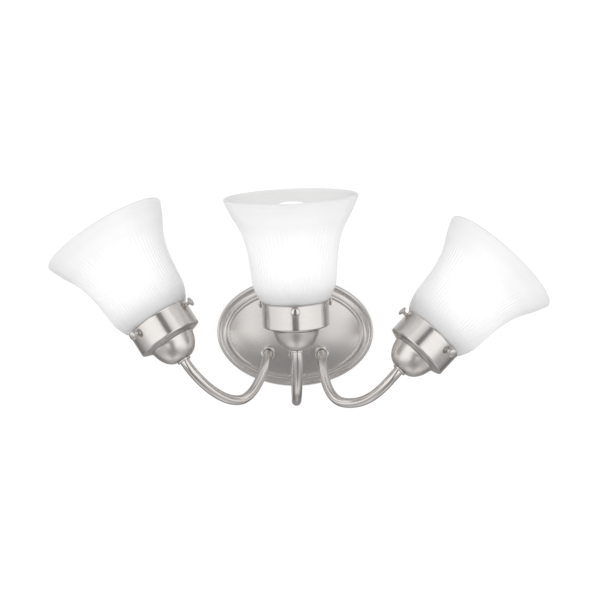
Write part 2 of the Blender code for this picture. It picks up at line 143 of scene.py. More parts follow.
# %% Light tent
GAP_EDGE = (math.radians(10.0), math.radians(42.0))      # the cloth is thinner round the camera
REAR_STRIP = (math.radians(92), math.radians(125), math.radians(128), math.radians(165))
REAR_STRIP_SHADE = 0.42
TENT_BRIGHT = 1.36
TENT_SIDE = 0.84
TENT_BACK = 0.66
TENT_TOP = 0.78
TENT_BOTTOM = 1.7
FLOOR_DIM = 0.46
THIN_LOW, THIN_HIGH = 0.50, 0.38


def build_tent():
    """Each factor is a share of the cloth's brightness by the turn from the camera or by z."""
    world = bpy.data.worlds.new("light_tent")
    bpy.context.scene.world = world
    world.use_nodes = True
    tree = world.node_tree
    tree.nodes.clear()
    place = add_node(tree, "ShaderNodeTexCoord")
    x, y, z = add_node(tree, "ShaderNodeSeparateXYZ", {0: place.outputs["Generated"]}).outputs
    turn = maths(tree, "ABSOLUTE", maths(tree, "ARCTAN2", x, maths(tree, "MULTIPLY", y, -1.0)))
    thin = maths(tree, "MAXIMUM", ramp(tree, z, -0.50, -0.24, THIN_LOW, 0.0),
                 ramp(tree, z, 0.38, 0.62, 0.0, THIN_HIGH))
    gap = maths(tree, "SUBTRACT", 1.0, product(tree, ramp(tree, turn, *GAP_EDGE, 1.0, 0.0), thin))
    sides = ramp(tree, turn, math.radians(25), math.radians(105), 1.0, TENT_SIDE)
    strip = product(tree, ramp(tree, turn, *REAR_STRIP[:2]), ramp(tree, turn, *REAR_STRIP[2:], 1.0, 0.0))
    rear = maths(tree, "MULTIPLY_ADD", strip, -REAR_STRIP_SHADE, 1.0)
    back = ramp(tree, turn, *REAR_STRIP[1:3], 1.0, TENT_BACK)
    floor = ramp(tree, z, -0.50, -0.16, FLOOR_DIM, 1.0)
    bottom = ramp(tree, z, -0.97, -0.74, TENT_BOTTOM, 1.0)
    top = ramp(tree, z, 0.62, 0.86, 1.0, TENT_TOP)
    strength = product(tree, gap, sides, rear, back, floor, bottom, top, TENT_BRIGHT)
    tent = add_node(tree, "ShaderNodeBackground", {"Color": grey(1.0), "Strength": strength})
    plain = add_node(tree, "ShaderNodeBackground", {"Color": grey(1.0)})
    path = add_node(tree, "ShaderNodeLightPath")
    seen = mix_shaders(tree, path.outputs["Is Camera Ray"], tent, plain)
    add_node(tree, "ShaderNodeOutputWorld", {0: seen.outputs[0]})


def add_softbox(name, place, size, watts):
    light = bpy.data.lights.new(name, "AREA")
    light.shape = "RECTANGLE"
    light.size, light.size_y = size
    light.energy = watts
    obj = link_object(name, light)
    obj.location = place
    obj.rotation_euler = (Vector((0.0, -0.08, 0.03)) - obj.location).to_track_quat("-Z", "Y").to_euler()
    obj.visible_glossy = False


def add_dark_card():
    """The opening that the camera looks through, as the metal sees it."""
    left, right, low, high, y = -0.235, 0.195, -0.56, 0.98, -1.25
    material, tree = bare_material("dark_card")
    glow = add_node(tree, "ShaderNodeEmission", {"Color": grey(0.19), "Strength": 1.0})
    add_node(tree, "ShaderNodeOutputMaterial", {0: glow.outputs[0]})
    card = new_object("dark_card", [(left, y, low), (right, y, low), (right, y, high), (left, y, high)],
                      [(0, 1, 2, 3)], material)
    card.visible_camera = card.visible_diffuse = card.visible_shadow = False
    card.visible_transmission = False


build_tent()
add_dark_card()
add_softbox("softbox_left", Vector((-1.1, -1.3, 1.1)), (0.8, 1.1), 5.0)
add_softbox("softbox_right", Vector((1.25, -1.2, 0.8)), (0.8, 1.1), 3.5)
print("tent, dark card and two softboxes")


# %% [markdown]
# ## Wall and floor
# One sheet of white board bends from the floor up the wall. From behind it is see-through,
# so that the back of the lamp can be looked at, and reflections look past it to the tent.

# %% Wall and floor
WALL_Y = 0.0006


def build_backdrop():
    floor_z, bend, reach, top = -0.75, 0.25, 3.2, 2.4
    profile = [(-4.0, floor_z), (WALL_Y - bend, floor_z)]
    for k in range(1, 12):
        a = math.radians(90.0 * k / 12)
        profile.append((WALL_Y - bend + bend * math.sin(a), floor_z + bend - bend * math.cos(a)))
    profile += [(WALL_Y, floor_z + bend), (WALL_Y, top)]
    vertices = [(x, y, z) for y, z in profile for x in (-reach, reach)]
    faces = [(2 * i, 2 * i + 1, 2 * i + 3, 2 * i + 2) for i in range(len(profile) - 1)]
    material, tree = bare_material("white_board")
    path = add_node(tree, "ShaderNodeLightPath").outputs
    behind = add_node(tree, "ShaderNodeNewGeometry").outputs["Backfacing"]
    paint = add_node(tree, "ShaderNodeBsdfDiffuse", {"Color": grey(0.94)})
    glow = add_node(tree, "ShaderNodeEmission", {"Color": grey(1.0), "Strength": 1.03})
    clear = add_node(tree, "ShaderNodeBsdfTransparent")
    seen = mix_shaders(tree, path["Is Camera Ray"], paint, mix_shaders(tree, 0.86, paint, glow))
    hidden = maths(tree, "MAXIMUM", behind, path["Is Glossy Ray"])
    final = mix_shaders(tree, hidden, seen, clear)
    add_node(tree, "ShaderNodeOutputMaterial", {0: final.outputs[0]})
    board = new_object("white_board", vertices, faces, material)
    board.data.shade_smooth()
    return board


board = build_backdrop()
print("board faces the room:", board.data.polygons[-1].normal)


# %% [markdown]
# ## Finishes
# Brushing leaves thousands of fine lines that all run one way: round and round on spun
# and pressed parts, lengthwise on drawn tube. Every turned or swept piece below stores a
# vector called `grain` on its points: the cosine and sine of the turn, and the distance
# along the profile in millimetres. One shader group stretches noise along that vector, so
# the same group makes round and lengthwise brushing, and it has no seam.

# %% Group: brush lines
def socket_kind(label, value=0.0):
    """A geometry or a material by the socket's name, a number by its default."""
    number = "Int" if isinstance(value, int) else "Float"
    return "NodeSocket" + (label if label in ("Geometry", "Material") else number)


def new_tree(name, kind, inputs, outputs):
    """A tree with named inputs, each with its default, and named outputs."""
    tree = bpy.data.node_groups.new(name, kind)
    for label, value in inputs.items():
        socket = tree.interface.new_socket(label, in_out="INPUT", socket_type=socket_kind(label, value))
        if value is not None:
            socket.default_value = value
    for label in outputs:
        tree.interface.new_socket(label, in_out="OUTPUT", socket_type=socket_kind(label))
    return tree, tree.nodes.new("NodeGroupInput").outputs, tree.nodes.new("NodeGroupOutput").inputs


def build_brush_lines():
    """Streaks along the grain, and soft handling marks over the whole piece."""
    tree, given, made = new_tree("brush_lines", "ShaderNodeTree",
                                 {"Round": 1.0, "Along": 1.0, "Smudge Scale": 30.0}, ("Streak", "Smudge"))
    grain = add_node(tree, "ShaderNodeAttribute", attribute_name="grain")
    stretch = add_node(tree, "ShaderNodeCombineXYZ",
                       {0: given["Round"], 1: given["Round"], 2: given["Along"]})
    scaled = add_node(tree, "ShaderNodeVectorMath", {0: grain.outputs["Vector"], 1: stretch.outputs[0]},
                      operation="MULTIPLY")
    fine = add_node(tree, "ShaderNodeTexNoise",
                    {"Vector": scaled.outputs[0], "Scale": 1.0, "Detail": 5.0, "Roughness": 0.65})
    place = add_node(tree, "ShaderNodeTexCoord")
    marks = add_node(tree, "ShaderNodeTexNoise",
                     {"Vector": place.outputs["Object"], "Scale": given["Smudge Scale"], "Detail": 3.0,
                      "Roughness": 0.5})
    tree.links.new(fine.outputs[0], made["Streak"])
    tree.links.new(marks.outputs[0], made["Smudge"])
    return tree


BRUSH_LINES = build_brush_lines()


# %% Group: speckle
def build_speckle():
    """Fine grit and slow cloudiness for cast, moulded and etched surfaces."""
    tree, given, made = new_tree("speckle", "ShaderNodeTree",
                                 {"Grit Scale": 2500.0, "Cloud Scale": 40.0}, ("Grit", "Cloud"))
    place = add_node(tree, "ShaderNodeTexCoord")
    for label in ("Grit", "Cloud"):
        noise = add_node(tree, "ShaderNodeTexNoise",
                         {"Vector": place.outputs["Object"], "Scale": given[label + " Scale"], "Detail": 2.0})
        tree.links.new(noise.outputs[0], made[label])
    return tree


SPECKLE = build_speckle()
print("groups:", [group.name for group in bpy.data.node_groups])


# %% A material and its Principled shader
def new_material(name, roughness, metallic):
    material = bpy.data.materials.new(name)
    material.use_nodes = True
    shader = material.node_tree.nodes["Principled BSDF"]
    shader.inputs["Roughness"].default_value = roughness
    shader.inputs["Metallic"].default_value = metallic
    return material, material.node_tree, shader


def place_group(tree, group, **values):
    values = {label.replace("_", " "): value for label, value in values.items()}
    return add_node(tree, "ShaderNodeGroup", values, node_tree=group).outputs


def two_colours(tree, mask, dark, light):
    """Between two colours by the mask."""
    return add_node(tree, "ShaderNodeMix", {"Factor": mask, "A": (*dark, 1.0), "B": (*light, 1.0)},
                    data_type="RGBA").outputs["Result"]


def varied(tree, mask, spread, base, clamp=False):
    """The base, more or less by half the spread as the mask runs from 0 to 1."""
    return maths(tree, "MULTIPLY_ADD", maths(tree, "SUBTRACT", mask, 0.5), spread, base, clamp=clamp)


def bump(tree, height, strength, depth):
    return add_node(tree, "ShaderNodeBump",
                    {"Strength": strength, "Distance": depth, "Height": height}).outputs[0]


# %% Brushed metals
def brushed_metal(name, dark, light, roughness, spread, round_lines, along_lines, relief=0.12,
                  stretch=0.0):
    """Metal with brush lines: the lines change its tone, its roughness and its relief, and
    stretch draws its highlights out across them."""
    material, tree, shader = new_material(name, roughness, 1.0)
    shader.inputs["Anisotropic"].default_value = stretch
    if stretch:
        way = add_node(tree, "ShaderNodeTangent", direction_type="UV_MAP", uv_map="brushing")
        tree.links.new(way.outputs[0], shader.inputs["Tangent"])
    streak, smudge = place_group(tree, BRUSH_LINES, Round=round_lines, Along=along_lines)
    rough = varied(tree, smudge, 0.10, varied(tree, streak, spread, roughness), clamp=True)
    tree.links.new(two_colours(tree, ramp(tree, streak, 0.32, 0.68), dark, light),
                   shader.inputs["Base Color"])
    tree.links.new(rough, shader.inputs["Roughness"])
    tree.links.new(bump(tree, streak, relief, 0.00006), shader.inputs["Normal"])
    return material


NICKEL = dict(dark=(0.620, 0.590, 0.568), light=(0.675, 0.648, 0.628))
nickel_round = brushed_metal("nickel_brushed_round", **NICKEL, roughness=0.19, spread=0.08,
                             round_lines=1.3, along_lines=3.0, relief=0.04, stretch=0.4)
nickel_satin = brushed_metal("nickel_brushed_satin", **NICKEL, roughness=0.28, spread=0.08,
                             round_lines=1.3, along_lines=4.0, relief=0.04, stretch=0.4)
# The cups' nickel is painted about a tenth lighter than the rest, painted light that brightens the domes; its
# greater roughness is the duller satin of spun metal.
nickel_spun_painted_light = brushed_metal("nickel_brushed_spun", dark=(0.675, 0.645, 0.622), light=(0.73, 0.702, 0.68),
                            roughness=0.32, spread=0.08, round_lines=1.3, along_lines=4.0, relief=0.04,
                            stretch=0.4)
nickel_tube = brushed_metal("nickel_brushed_tube", **NICKEL, roughness=0.19, spread=0.08,
                            round_lines=9.0, along_lines=0.05, relief=0.06, stretch=0.2)
zinc = brushed_metal("zinc_plated_steel", dark=(0.55, 0.57, 0.60), light=(0.74, 0.74, 0.72),
                     roughness=0.38, spread=0.20, round_lines=2.5, along_lines=0.8)
brass = brushed_metal("plated_brass", dark=(0.72, 0.56, 0.27), light=(0.84, 0.69, 0.38),
                      roughness=0.28, spread=0.14, round_lines=1.2, along_lines=1.6)
cap_metal = brushed_metal("rolled_aluminium", dark=(0.70, 0.71, 0.72), light=(0.84, 0.85, 0.86),
                          roughness=0.32, spread=0.16, round_lines=1.4, along_lines=1.8)


# %% Moulded, jacketed and painted finishes
def plain_finish(name, dark, light, roughness, grit, relief, metallic=0.0):
    """A solid finish whose tone clouds a little and whose skin has a fine grit."""
    material, tree, shader = new_material(name, roughness, metallic)
    grit_mask, cloud = place_group(tree, SPECKLE, Grit_Scale=grit)
    tree.links.new(two_colours(tree, ramp(tree, cloud, 0.3, 0.7), dark, light),
                   shader.inputs["Base Color"])
    tree.links.new(varied(tree, cloud, 0.18, roughness, clamp=True), shader.inputs["Roughness"])
    tree.links.new(bump(tree, grit_mask, relief, 0.00005), shader.inputs["Normal"])
    return material


phenolic = plain_finish("phenolic_white", (0.80, 0.79, 0.75), (0.87, 0.86, 0.82), 0.26, 1500, 0.06)
jacket = plain_finish("lead_jacket", (0.80, 0.79, 0.74), (0.88, 0.87, 0.83), 0.46, 1800, 0.10)
connector = plain_finish("connector_orange", (0.72, 0.27, 0.05), (0.83, 0.36, 0.08), 0.40, 1200, 0.12)
green = plain_finish("green_plating", (0.06, 0.26, 0.11), (0.10, 0.36, 0.16), 0.32, 900, 0.10, 0.75)
insulator = plain_finish("cap_insulator", (0.05, 0.05, 0.06), (0.08, 0.08, 0.09), 0.18, 900, 0.05)


# %% [markdown]
# Etched glass is pressed clear and then eaten matt by acid, so it scatters light instead
# of showing what is behind it. With a lamp inside it looks like a softly glowing white.
# The glass's glow is painted light that stands in for the lamp shining through it. It is
# strongest where the lamp's globe is nearest, so every shade stores a value called `glow`
# along its profile, and that value drives Emission Color. A value called `tone` paints
# shade: the glass is darker at its foot by the holder and on its inside wall.

# %% Etched glass and lamp glass
def glowing_glass(name, dark, light, roughness, glow_low, glow_high, strength, relief):
    """Glass lit from inside. On a lamp globe the glow is the lamp itself; on a shade it is
    painted light for the lamp behind the glass, and its fading where the glass is seen
    edge-on is painted shade towards the outline.
    """
    material, tree, shader = new_material(name, roughness, 0.0)
    shader.inputs["IOR"].default_value = 1.52
    shader.inputs["Emission Strength"].default_value = strength
    grit, cloud = place_group(tree, SPECKLE, Grit_Scale=3200.0, Cloud_Scale=25.0)
    # On a shade the tone value paints shade into the base colour: darker at the foot by the holder and on the
    # inside wall.
    tone = add_node(tree, "ShaderNodeAttribute", attribute_name="tone").outputs["Fac"]
    tone_and_cloud = maths(tree, "ADD", tone, maths(tree, "MULTIPLY_ADD", cloud, 0.2, -0.1), clamp=True)
    # On a shade, fading the glow where it is seen edge-on is painted shade towards its outline.
    edge_on = add_node(tree, "ShaderNodeLayerWeight", {"Blend": 0.35}).outputs["Facing"]
    fade = maths(tree, "POWER", maths(tree, "SUBTRACT", 1.0, edge_on), 1.3)
    glow = add_node(tree, "ShaderNodeAttribute", attribute_name="glow").outputs["Fac"]
    tree.links.new(two_colours(tree, tone_and_cloud, dark, light), shader.inputs["Base Color"])
    tree.links.new(two_colours(tree, product(tree, glow, fade), glow_low, glow_high),
                   shader.inputs["Emission Color"])
    tree.links.new(varied(tree, grit, 0.2, roughness, clamp=True), shader.inputs["Roughness"])
    tree.links.new(bump(tree, grit, relief, 0.00008), shader.inputs["Normal"])
    return material


# Its dark end is the painted shade of the foot and inside wall; its emission colour is painted light for the
# lamp within.
shade_glass = glowing_glass("etched_glass", (0.50, 0.50, 0.50), (0.726, 0.726, 0.726), 0.42,
                            (0.0, 0.0, 0.0), (0.36, 0.36, 0.357), 0.46, 0.10)
lamp_glass = glowing_glass("lamp_glass", (0.80, 0.79, 0.76), (0.92, 0.91, 0.88), 0.30,
                           (0.10, 0.095, 0.085), (1.0, 0.985, 0.95), 0.42, 0.03)
print("materials:", len(bpy.data.materials))


# %% [markdown]
# ## Turned shapes
# Nearly every piece here comes off a lathe: it is one outline spun round an axis. The
# outline is a list of corners in millimetres, each with its own rounding, because real
# spun metal has no sharp corner and the small rounds are what catch the light.

# %% Outlines
def rounded(corners, steps=4):
    """Corners (radius, height, rounding) in mm become outline points (radius, height)."""
    points = []
    count = len(corners)
    for i, corner in enumerate(corners):
        here = Vector(corner[:2])
        size = corner[2] if len(corner) > 2 else 0.0
        if size == 0.0:
            points.append(tuple(here))
            continue
        ends = []
        for j in (i - 1, (i + 1) % count):
            way = Vector(corners[j][:2]) - here
            ends.append(here + way.normalized() * min(size, 0.48 * way.length))
        for k in range(steps + 1):
            t = k / steps
            points.append(tuple(ends[0] * (1 - t) ** 2 + here * (2 * t * (1 - t)) + ends[1] * t ** 2))
    return points


def smooth_line(keys, per_span):
    """A smooth line through the keys."""
    keys = [Vector(key) for key in keys]
    last = len(keys) - 1
    slopes = [(keys[min(i + 1, last)] - keys[max(i - 1, 0)]) / 2 for i in range(last + 1)]
    line = [keys[0]]
    for i in range(last):
        handle_a = keys[i] + slopes[i] / 3
        handle_b = keys[i + 1] - slopes[i + 1] / 3
        line += interpolate_bezier(keys[i], handle_a, handle_b, keys[i + 1], per_span + 1)[1:]
    return line


def smooth_outline(keys, per_span=4):
    return [(p.x, p.y) for p in smooth_line([(r, z, 0.0) for r, z in keys], per_span)]


def inward(outline, thickness):
    """The outline moved by the thickness towards its inner side."""
    moved = []
    last = len(outline) - 1
    for i, (r, z) in enumerate(outline):
        r0, z0 = outline[max(i - 1, 0)]
        r1, z1 = outline[min(i + 1, last)]
        length = math.hypot(r1 - r0, z1 - z0)
        moved.append((max(r + (z1 - z0) / length * thickness, 0.0),
                      z - (r1 - r0) / length * thickness))
    return moved


# %% Lathe
def store(obj, name, values):
    """Keeps one number or vector for each point of the object's mesh."""
    values = np.array(values, np.float32)
    kind, slot = ("FLOAT_VECTOR", "vector") if values.ndim == 2 else ("FLOAT", "value")
    obj.data.attributes.new(name, kind, "POINT").data.foreach_set(slot, values.ravel())


def face_outwards(mesh):
    bm = bmesh.new()
    bm.from_mesh(mesh)
    bmesh.ops.recalc_face_normals(bm, faces=bm.faces)
    bm.to_mesh(mesh)
    bm.free()


def around(steps):
    """The angles of a full turn."""
    return [2 * math.pi * k / steps for k in range(steps)]


def band_faces(rings, closed):
    """Faces between each ring of points and the next. A ring of one point is a pole."""
    faces = []
    steps = max(len(ring) for ring in rings)
    for ring, after in zip(rings, rings[1:] + rings[:1] if closed else rings[1:]):
        for k in range(steps if len(ring) + len(after) > 2 else 0):
            corners = (ring[k % len(ring)], ring[(k + 1) % len(ring)],
                       after[(k + 1) % len(after)], after[k % len(after)])
            faces.append(tuple(dict.fromkeys(corners)))
    return faces


def turned(name, outline, material, steps=96):
    """One outline, a closed loop of (radius, height) in mm, turned about its own Z.
    A radius of 0 is a pole. The grain runs round."""
    vertices, grain, rings, run = [], [], [], 0.0
    for i, (r, z) in enumerate(outline):
        run += math.dist(outline[i - 1], outline[i]) if i else 0.0
        turns = around(steps) if r > 1e-6 else [0.0]
        rings.append(range(len(vertices), len(vertices) + len(turns)))
        vertices += [(r * MM * math.cos(a), r * MM * math.sin(a), z * MM) for a in turns]
        grain += [(math.cos(a), math.sin(a), run) if r > 1e-6 else (0.0, 0.0, run) for a in turns]
    obj = new_object(name, vertices, band_faces(rings, True), material)
    store(obj, "grain", grain)
    face_outwards(obj.data)
    return obj


# %% Cutting holes, settling a piece and handing it over
def drill(obj, radius, low, high, place, sides=32):
    """Bores a round hole with an exact boolean. Sizes in mm; the drill runs along the
    place's own Z."""
    bm = bmesh.new()
    bmesh.ops.create_cone(bm, cap_ends=True, segments=sides, radius1=radius * MM,
                          radius2=radius * MM, depth=(high - low) * MM)
    bmesh.ops.translate(bm, verts=bm.verts, vec=(0.0, 0.0, (high + low) / 2 * MM))
    bm.transform(place)
    cut_with(obj, bm)


def object_from(name, bm, material):
    mesh = bpy.data.meshes.new(name)
    bm.to_mesh(mesh)
    bm.free()
    mesh.materials.append(material)
    return link_object(name, mesh)


def cut_with(obj, bm):
    tool = object_from("cutter", bm, obj.data.materials[0])
    cut = obj.modifiers.new("cut", "BOOLEAN")
    cut.solver = "EXACT"
    cut.object = tool
    bake(obj)
    bpy.data.objects.remove(tool)


def evaluated(obj):
    """The mesh that the object's modifiers make."""
    depsgraph = bpy.context.evaluated_depsgraph_get()
    return bpy.data.meshes.new_from_object(obj.evaluated_get(depsgraph),
                                           preserve_all_data_layers=True, depsgraph=depsgraph)


def bake(obj):
    """Puts the modifiers' result into the object's own mesh."""
    plain = evaluated(obj)
    obj.modifiers.clear()
    obj.data = plain


def add_brushing_map(mesh, lengthwise):
    """A UV map whose U runs across the brush lines, from the stored grain."""
    grain = np.zeros(len(mesh.vertices) * 3, np.float32)
    mesh.attributes["grain"].data.foreach_get("vector", grain)
    corner_vertex = np.zeros(len(mesh.loops), np.int32)
    mesh.loops.foreach_get("vertex_index", corner_vertex)
    start, total = np.zeros((2, len(mesh.polygons)), np.int32)
    mesh.polygons.foreach_get("loop_start", start)
    mesh.polygons.foreach_get("loop_total", total)
    x, y, run = grain.reshape(-1, 3)[corner_vertex].T
    turn = np.arctan2(y, x)
    first = np.repeat(turn[start], total)
    turn = first + np.mod(turn - first + np.pi, 2 * np.pi) - np.pi
    across, along = turn / (2 * np.pi), run * 0.01
    flat = np.stack((across, along) if lengthwise else (along, across), axis=1)
    mesh.uv_layers.new(name="brushing").data.foreach_set("uv", flat.ravel())


def settle(obj, place=None, sharp=38.0, lengthwise=False):
    """Bakes the modifiers, moves the shape itself to its place and sets its shading."""
    mesh, name = evaluated(obj), obj.name
    mesh.name = name
    bpy.data.objects.remove(obj)
    made = link_object(name, mesh)
    if place is not None:
        mesh.transform(place)
    if "grain" in mesh.attributes:
        add_brushing_map(mesh, lengthwise)
    mesh.shade_smooth()
    mesh.set_sharp_from_angle(angle=math.radians(sharp))
    made.modifiers.new("even_normals", "WEIGHTED_NORMAL").keep_sharp = True
    bake(made)
    return made


def hand_over(obj, body, slot, *nodes):
    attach(obj, body)
    if nodes:
        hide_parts(*nodes)
    return obj


# %% Where the cups and their screws are
SCREW_HEIGHT = 18.4 * MM


def cup_frame(side):
    """The cup's own frame from the lamp's hinge: z out of the mouth, y to the wall."""
    hinge = joints[side + "_bulb_turn"]
    z_axis = Vector(hinge["axis"])
    x_axis = Vector((0.0, 1.0, 0.0)).cross(z_axis).normalized()
    place = Matrix((x_axis, z_axis.cross(x_axis), z_axis)).transposed().to_4x4()
    place.translation = Vector(hinge["pos_m"])
    return place


def screw_frame(side, number):
    """z outwards along the thumb screw, from the cup's axis."""
    cup = cup_frame(side)
    z_axis = Vector(joints["%s_screw_%d_travel" % (side, number)]["axis"])
    y_axis = cup.col[2].to_3d()
    place = Matrix((y_axis.cross(z_axis), y_axis, z_axis)).transposed().to_4x4()
    place.translation = cup.translation + y_axis * SCREW_HEIGHT
    return place


def turned_on_cup(name, side, outline, material, steps):
    """A piece that needs nothing but turning, in its place on the cup's axis."""
    return settle(turned(name + side, outline, material, steps), cup_frame(side))


def facing_room(x, y, z):
    """Places a turned piece with its own +Z towards the room; x, y, z in mm."""
    return Matrix.Translation(Vector((x, y, z)) * MM) @ Matrix.Rotation(math.radians(90), 4, "X")


# %% [markdown]
# ## Rules that repeat: ribs and threads
# The glass has fine upright ribs, the twist connectors have coarse ones, and the lamp cap,
# its shell, the nipple and the tube ends have threads. Both are the same idea: a wave
# that pushes points in or out, by an angle or by an angle and a height. That is a rule,
# so each is a Geometry Nodes tree with its sizes as named inputs, set on any turned shell.

# %% Helpers for geometry trees
def new_geometry_tree(name, sizes):
    """A tree from one geometry to another, with named sizes and a material."""
    return new_tree(name, "GeometryNodeTree", {"Geometry": None, **sizes, "Material": None}, ["Geometry"])


def finish_tree(tree, given, made, geometry):
    real = add_node(tree, "GeometryNodeRealizeInstances", {0: geometry})
    paint = add_node(tree, "GeometryNodeSetMaterial",
                     {"Geometry": real.outputs[0], "Material": given["Material"]})
    tree.links.new(paint.outputs[0], made["Geometry"])
    return tree


def apply_tree(obj, tree, **values):
    """Adds the tree as a modifier and sets its inputs by the sockets' identifiers. The
    tree paints with the object's own material unless another is given."""
    modifier = obj.modifiers.new(tree.name, "NODES")
    modifier.node_group = tree
    values.setdefault("Material", obj.active_material)
    for item in tree.interface.items_tree:
        label = item.name.replace(" ", "_")
        if item.in_out == "INPUT" and label in values:
            modifier[item.identifier] = values[label]


def point_place(tree):
    """x, y and z of the point, and its turn round the axis."""
    position = add_node(tree, "GeometryNodeInputPosition")
    x, y, z = add_node(tree, "ShaderNodeSeparateXYZ", {0: position.outputs[0]}).outputs
    return x, y, z, maths(tree, "ARCTAN2", y, x)


def gate(tree, value, low, high, fade):
    """1 between low and high, falling to 0 over the fade."""
    rise = maths(tree, "DIVIDE", maths(tree, "SUBTRACT", value, low), fade, clamp=True)
    fall = maths(tree, "DIVIDE", maths(tree, "SUBTRACT", high, value), fade, clamp=True)
    both = product(tree, rise, fall)
    return product(tree, both, both, maths(tree, "MULTIPLY_ADD", both, -2.0, 3.0))


def press(tree, given, made, wave, height, direction):
    """Moves the points whose `skin` value is 1 by the wave, between Low and High."""
    skin = add_node(tree, "GeometryNodeInputNamedAttribute", {"Name": "skin"}, data_type="FLOAT")
    window = gate(tree, height, given["Low"], given["High"], given["Fade"])
    amount = product(tree, wave, window, skin.outputs[0], given["Depth"])
    step = add_node(tree, "ShaderNodeVectorMath", {0: direction, "Scale": amount}, operation="SCALE")
    move = add_node(tree, "GeometryNodeSetPosition",
                    {"Geometry": given["Geometry"], "Offset": step.outputs[0]})
    return finish_tree(tree, given, made, move.outputs["Geometry"])


# %% Tree: upright ribs
def build_rib_tree():
    """Ribs along the axis, each a little stronger here and weaker there."""
    tree, given, made = new_geometry_tree(
        "upright_ribs", {"Ribs": 60, "Depth": 0.0003, "Low": 0.0, "High": 0.1, "Fade": 0.01, "Drift": 0.0})
    _, _, height, turn = point_place(tree)
    wave = maths(tree, "COSINE", product(tree, turn, given["Ribs"]))
    drift = maths(tree, "SINE", maths(tree, "MULTIPLY_ADD", height, given["Drift"], product(tree, turn, 7.0)))
    wave = product(tree, wave, maths(tree, "MULTIPLY_ADD", drift, 0.3, 0.8))
    normal = add_node(tree, "GeometryNodeInputNormal").outputs[0]
    return press(tree, given, made, wave, height, normal)


RIBS = build_rib_tree()


# %% Tree: thread
def build_thread_tree():
    """A round thread, pushed straight out from the axis."""
    tree, given, made = new_geometry_tree(
        "thread", {"Pitch": 0.001, "Depth": 0.0003, "Low": 0.0, "High": 0.1, "Fade": 0.001})
    x, y, height, turn = point_place(tree)
    turns = product(tree, maths(tree, "DIVIDE", height, given["Pitch"]), 2 * math.pi)
    wave = maths(tree, "COSINE", maths(tree, "SUBTRACT", turns, turn))
    flat = add_node(tree, "ShaderNodeCombineXYZ", {0: x, 1: y})
    outwards = add_node(tree, "ShaderNodeVectorMath", {0: flat.outputs[0]}, operation="NORMALIZE")
    return press(tree, given, made, wave, height, outwards.outputs[0])


THREAD = build_thread_tree()


# %% Which points carry ribs or a thread
def mark_skin(obj, chosen):
    """skin is 1 on the points for which chosen(radius, height) in mm is true."""
    store(obj, "skin", [float(chosen(math.hypot(v.co.x, v.co.y) / MM, v.co.z / MM))
                        for v in obj.data.vertices])


def fine_span(outline, low, high, step, wall=None):
    """Adds points to the outline's upright spans between two heights, or only to the
    spans of the wall with that radius."""
    points = []
    for i, (r, z) in enumerate(outline):
        points.append((r, z))
        r1, z1 = outline[(i + 1) % len(outline)]
        upright = abs(r1 - r) < 0.05 and abs(z1 - z) > step and (wall is None or abs(r - wall) < 0.4)
        if upright and min(z, z1) < high and max(z, z1) > low:
            count = int(abs(z1 - z) / step)
            points += [(r + (r1 - r) * k / count, z + (z1 - z) * k / count) for k in range(1, count)]
    return points


print("trees:", RIBS.name, THREAD.name)

# %% [markdown]
# ## The glass shades
# Each shade is a bell of pressed glass, 3 mm thick: a straight neck that stands in the
# holder, a round shoulder, an upright body with fine ribs, and a smooth mouth that opens
# wide with a soft rounded lip. The ribs fade out before the shoulder and the mouth, as
# on a pressed piece, where the mould's grooves run out.

# %% Shade outline, painted glow and painted shade
SHADE_KEYS = ((28.0, 22.4), (30.6, 23.6), (34.4, 28.2), (38.6, 39.5), (40.3, 55.0), (42.4, 72.0),
              (47.7, 90.2), (56.9, 107.0), (62.3, 119.1))
GLASS = 3.0
RIB_COUNT = 72
RIB_DEPTH = 0.00024
# Painted light: how strongly the glass glows at each height up the shade, in mm.
GLOW_KEYS = ((0.0, 0.0), (28.0, 0.02), (42.0, 0.30), (56.0, 0.80), (70.0, 1.0), (86.0, 0.95),
             (102.0, 0.66), (114.0, 0.22), (120.6, 0.0))
# Painted shade: the glass is darker at its foot by the holder.
PAINTED_FOOT_SHADE_KEYS = ((18.0, 0.0), (46.0, 0.90), (120.6, 0.90))
# The inside wall: a lower tone, which is painted shade, and a weaker painted glow.
INNER_PAINTED_SHADE_TONE = 0.62
INNER_GLOW = 0.15
LIP_HEIGHT = 0.93                      # 1 would be a half circle
SHADE_STEPS = 504


def along_keys(keys, value):
    """Reads (place, level) keys, easing from each level to the next."""
    for (a, level_a), (b, level_b) in zip(keys, keys[1:]):
        if value <= b:
            t = max((value - a) / (b - a), 0.0)
            return level_a + (level_b - level_a) * t * t * (3 - 2 * t)
    return keys[-1][1]


def round_lip(start, end, steps=8):
    """Points that round a wall's end, from one face of the wall to the other."""
    middle = (start + end) / 2
    across = start - middle
    up = Vector((-across.y, across.x))
    up *= LIP_HEIGHT if up.y > 0 else -LIP_HEIGHT
    angles = [math.pi * k / steps for k in range(1, steps)]
    return [tuple(middle + across * math.cos(a) + up * math.sin(a)) for a in angles]


def shade_outline():
    outer = smooth_outline(SHADE_KEYS, 7)[::-1]
    inner = inward(outer, GLASS)
    neck = rounded([(28.0, 22.0), (28.0, 0.3, 0.9), (25.0, 0.3, 0.9), (25.0, 22.6)], 4)
    return outer + neck + inner[::-1][1:] + round_lip(Vector(outer[0]), Vector(inner[0]))[::-1], len(outer)


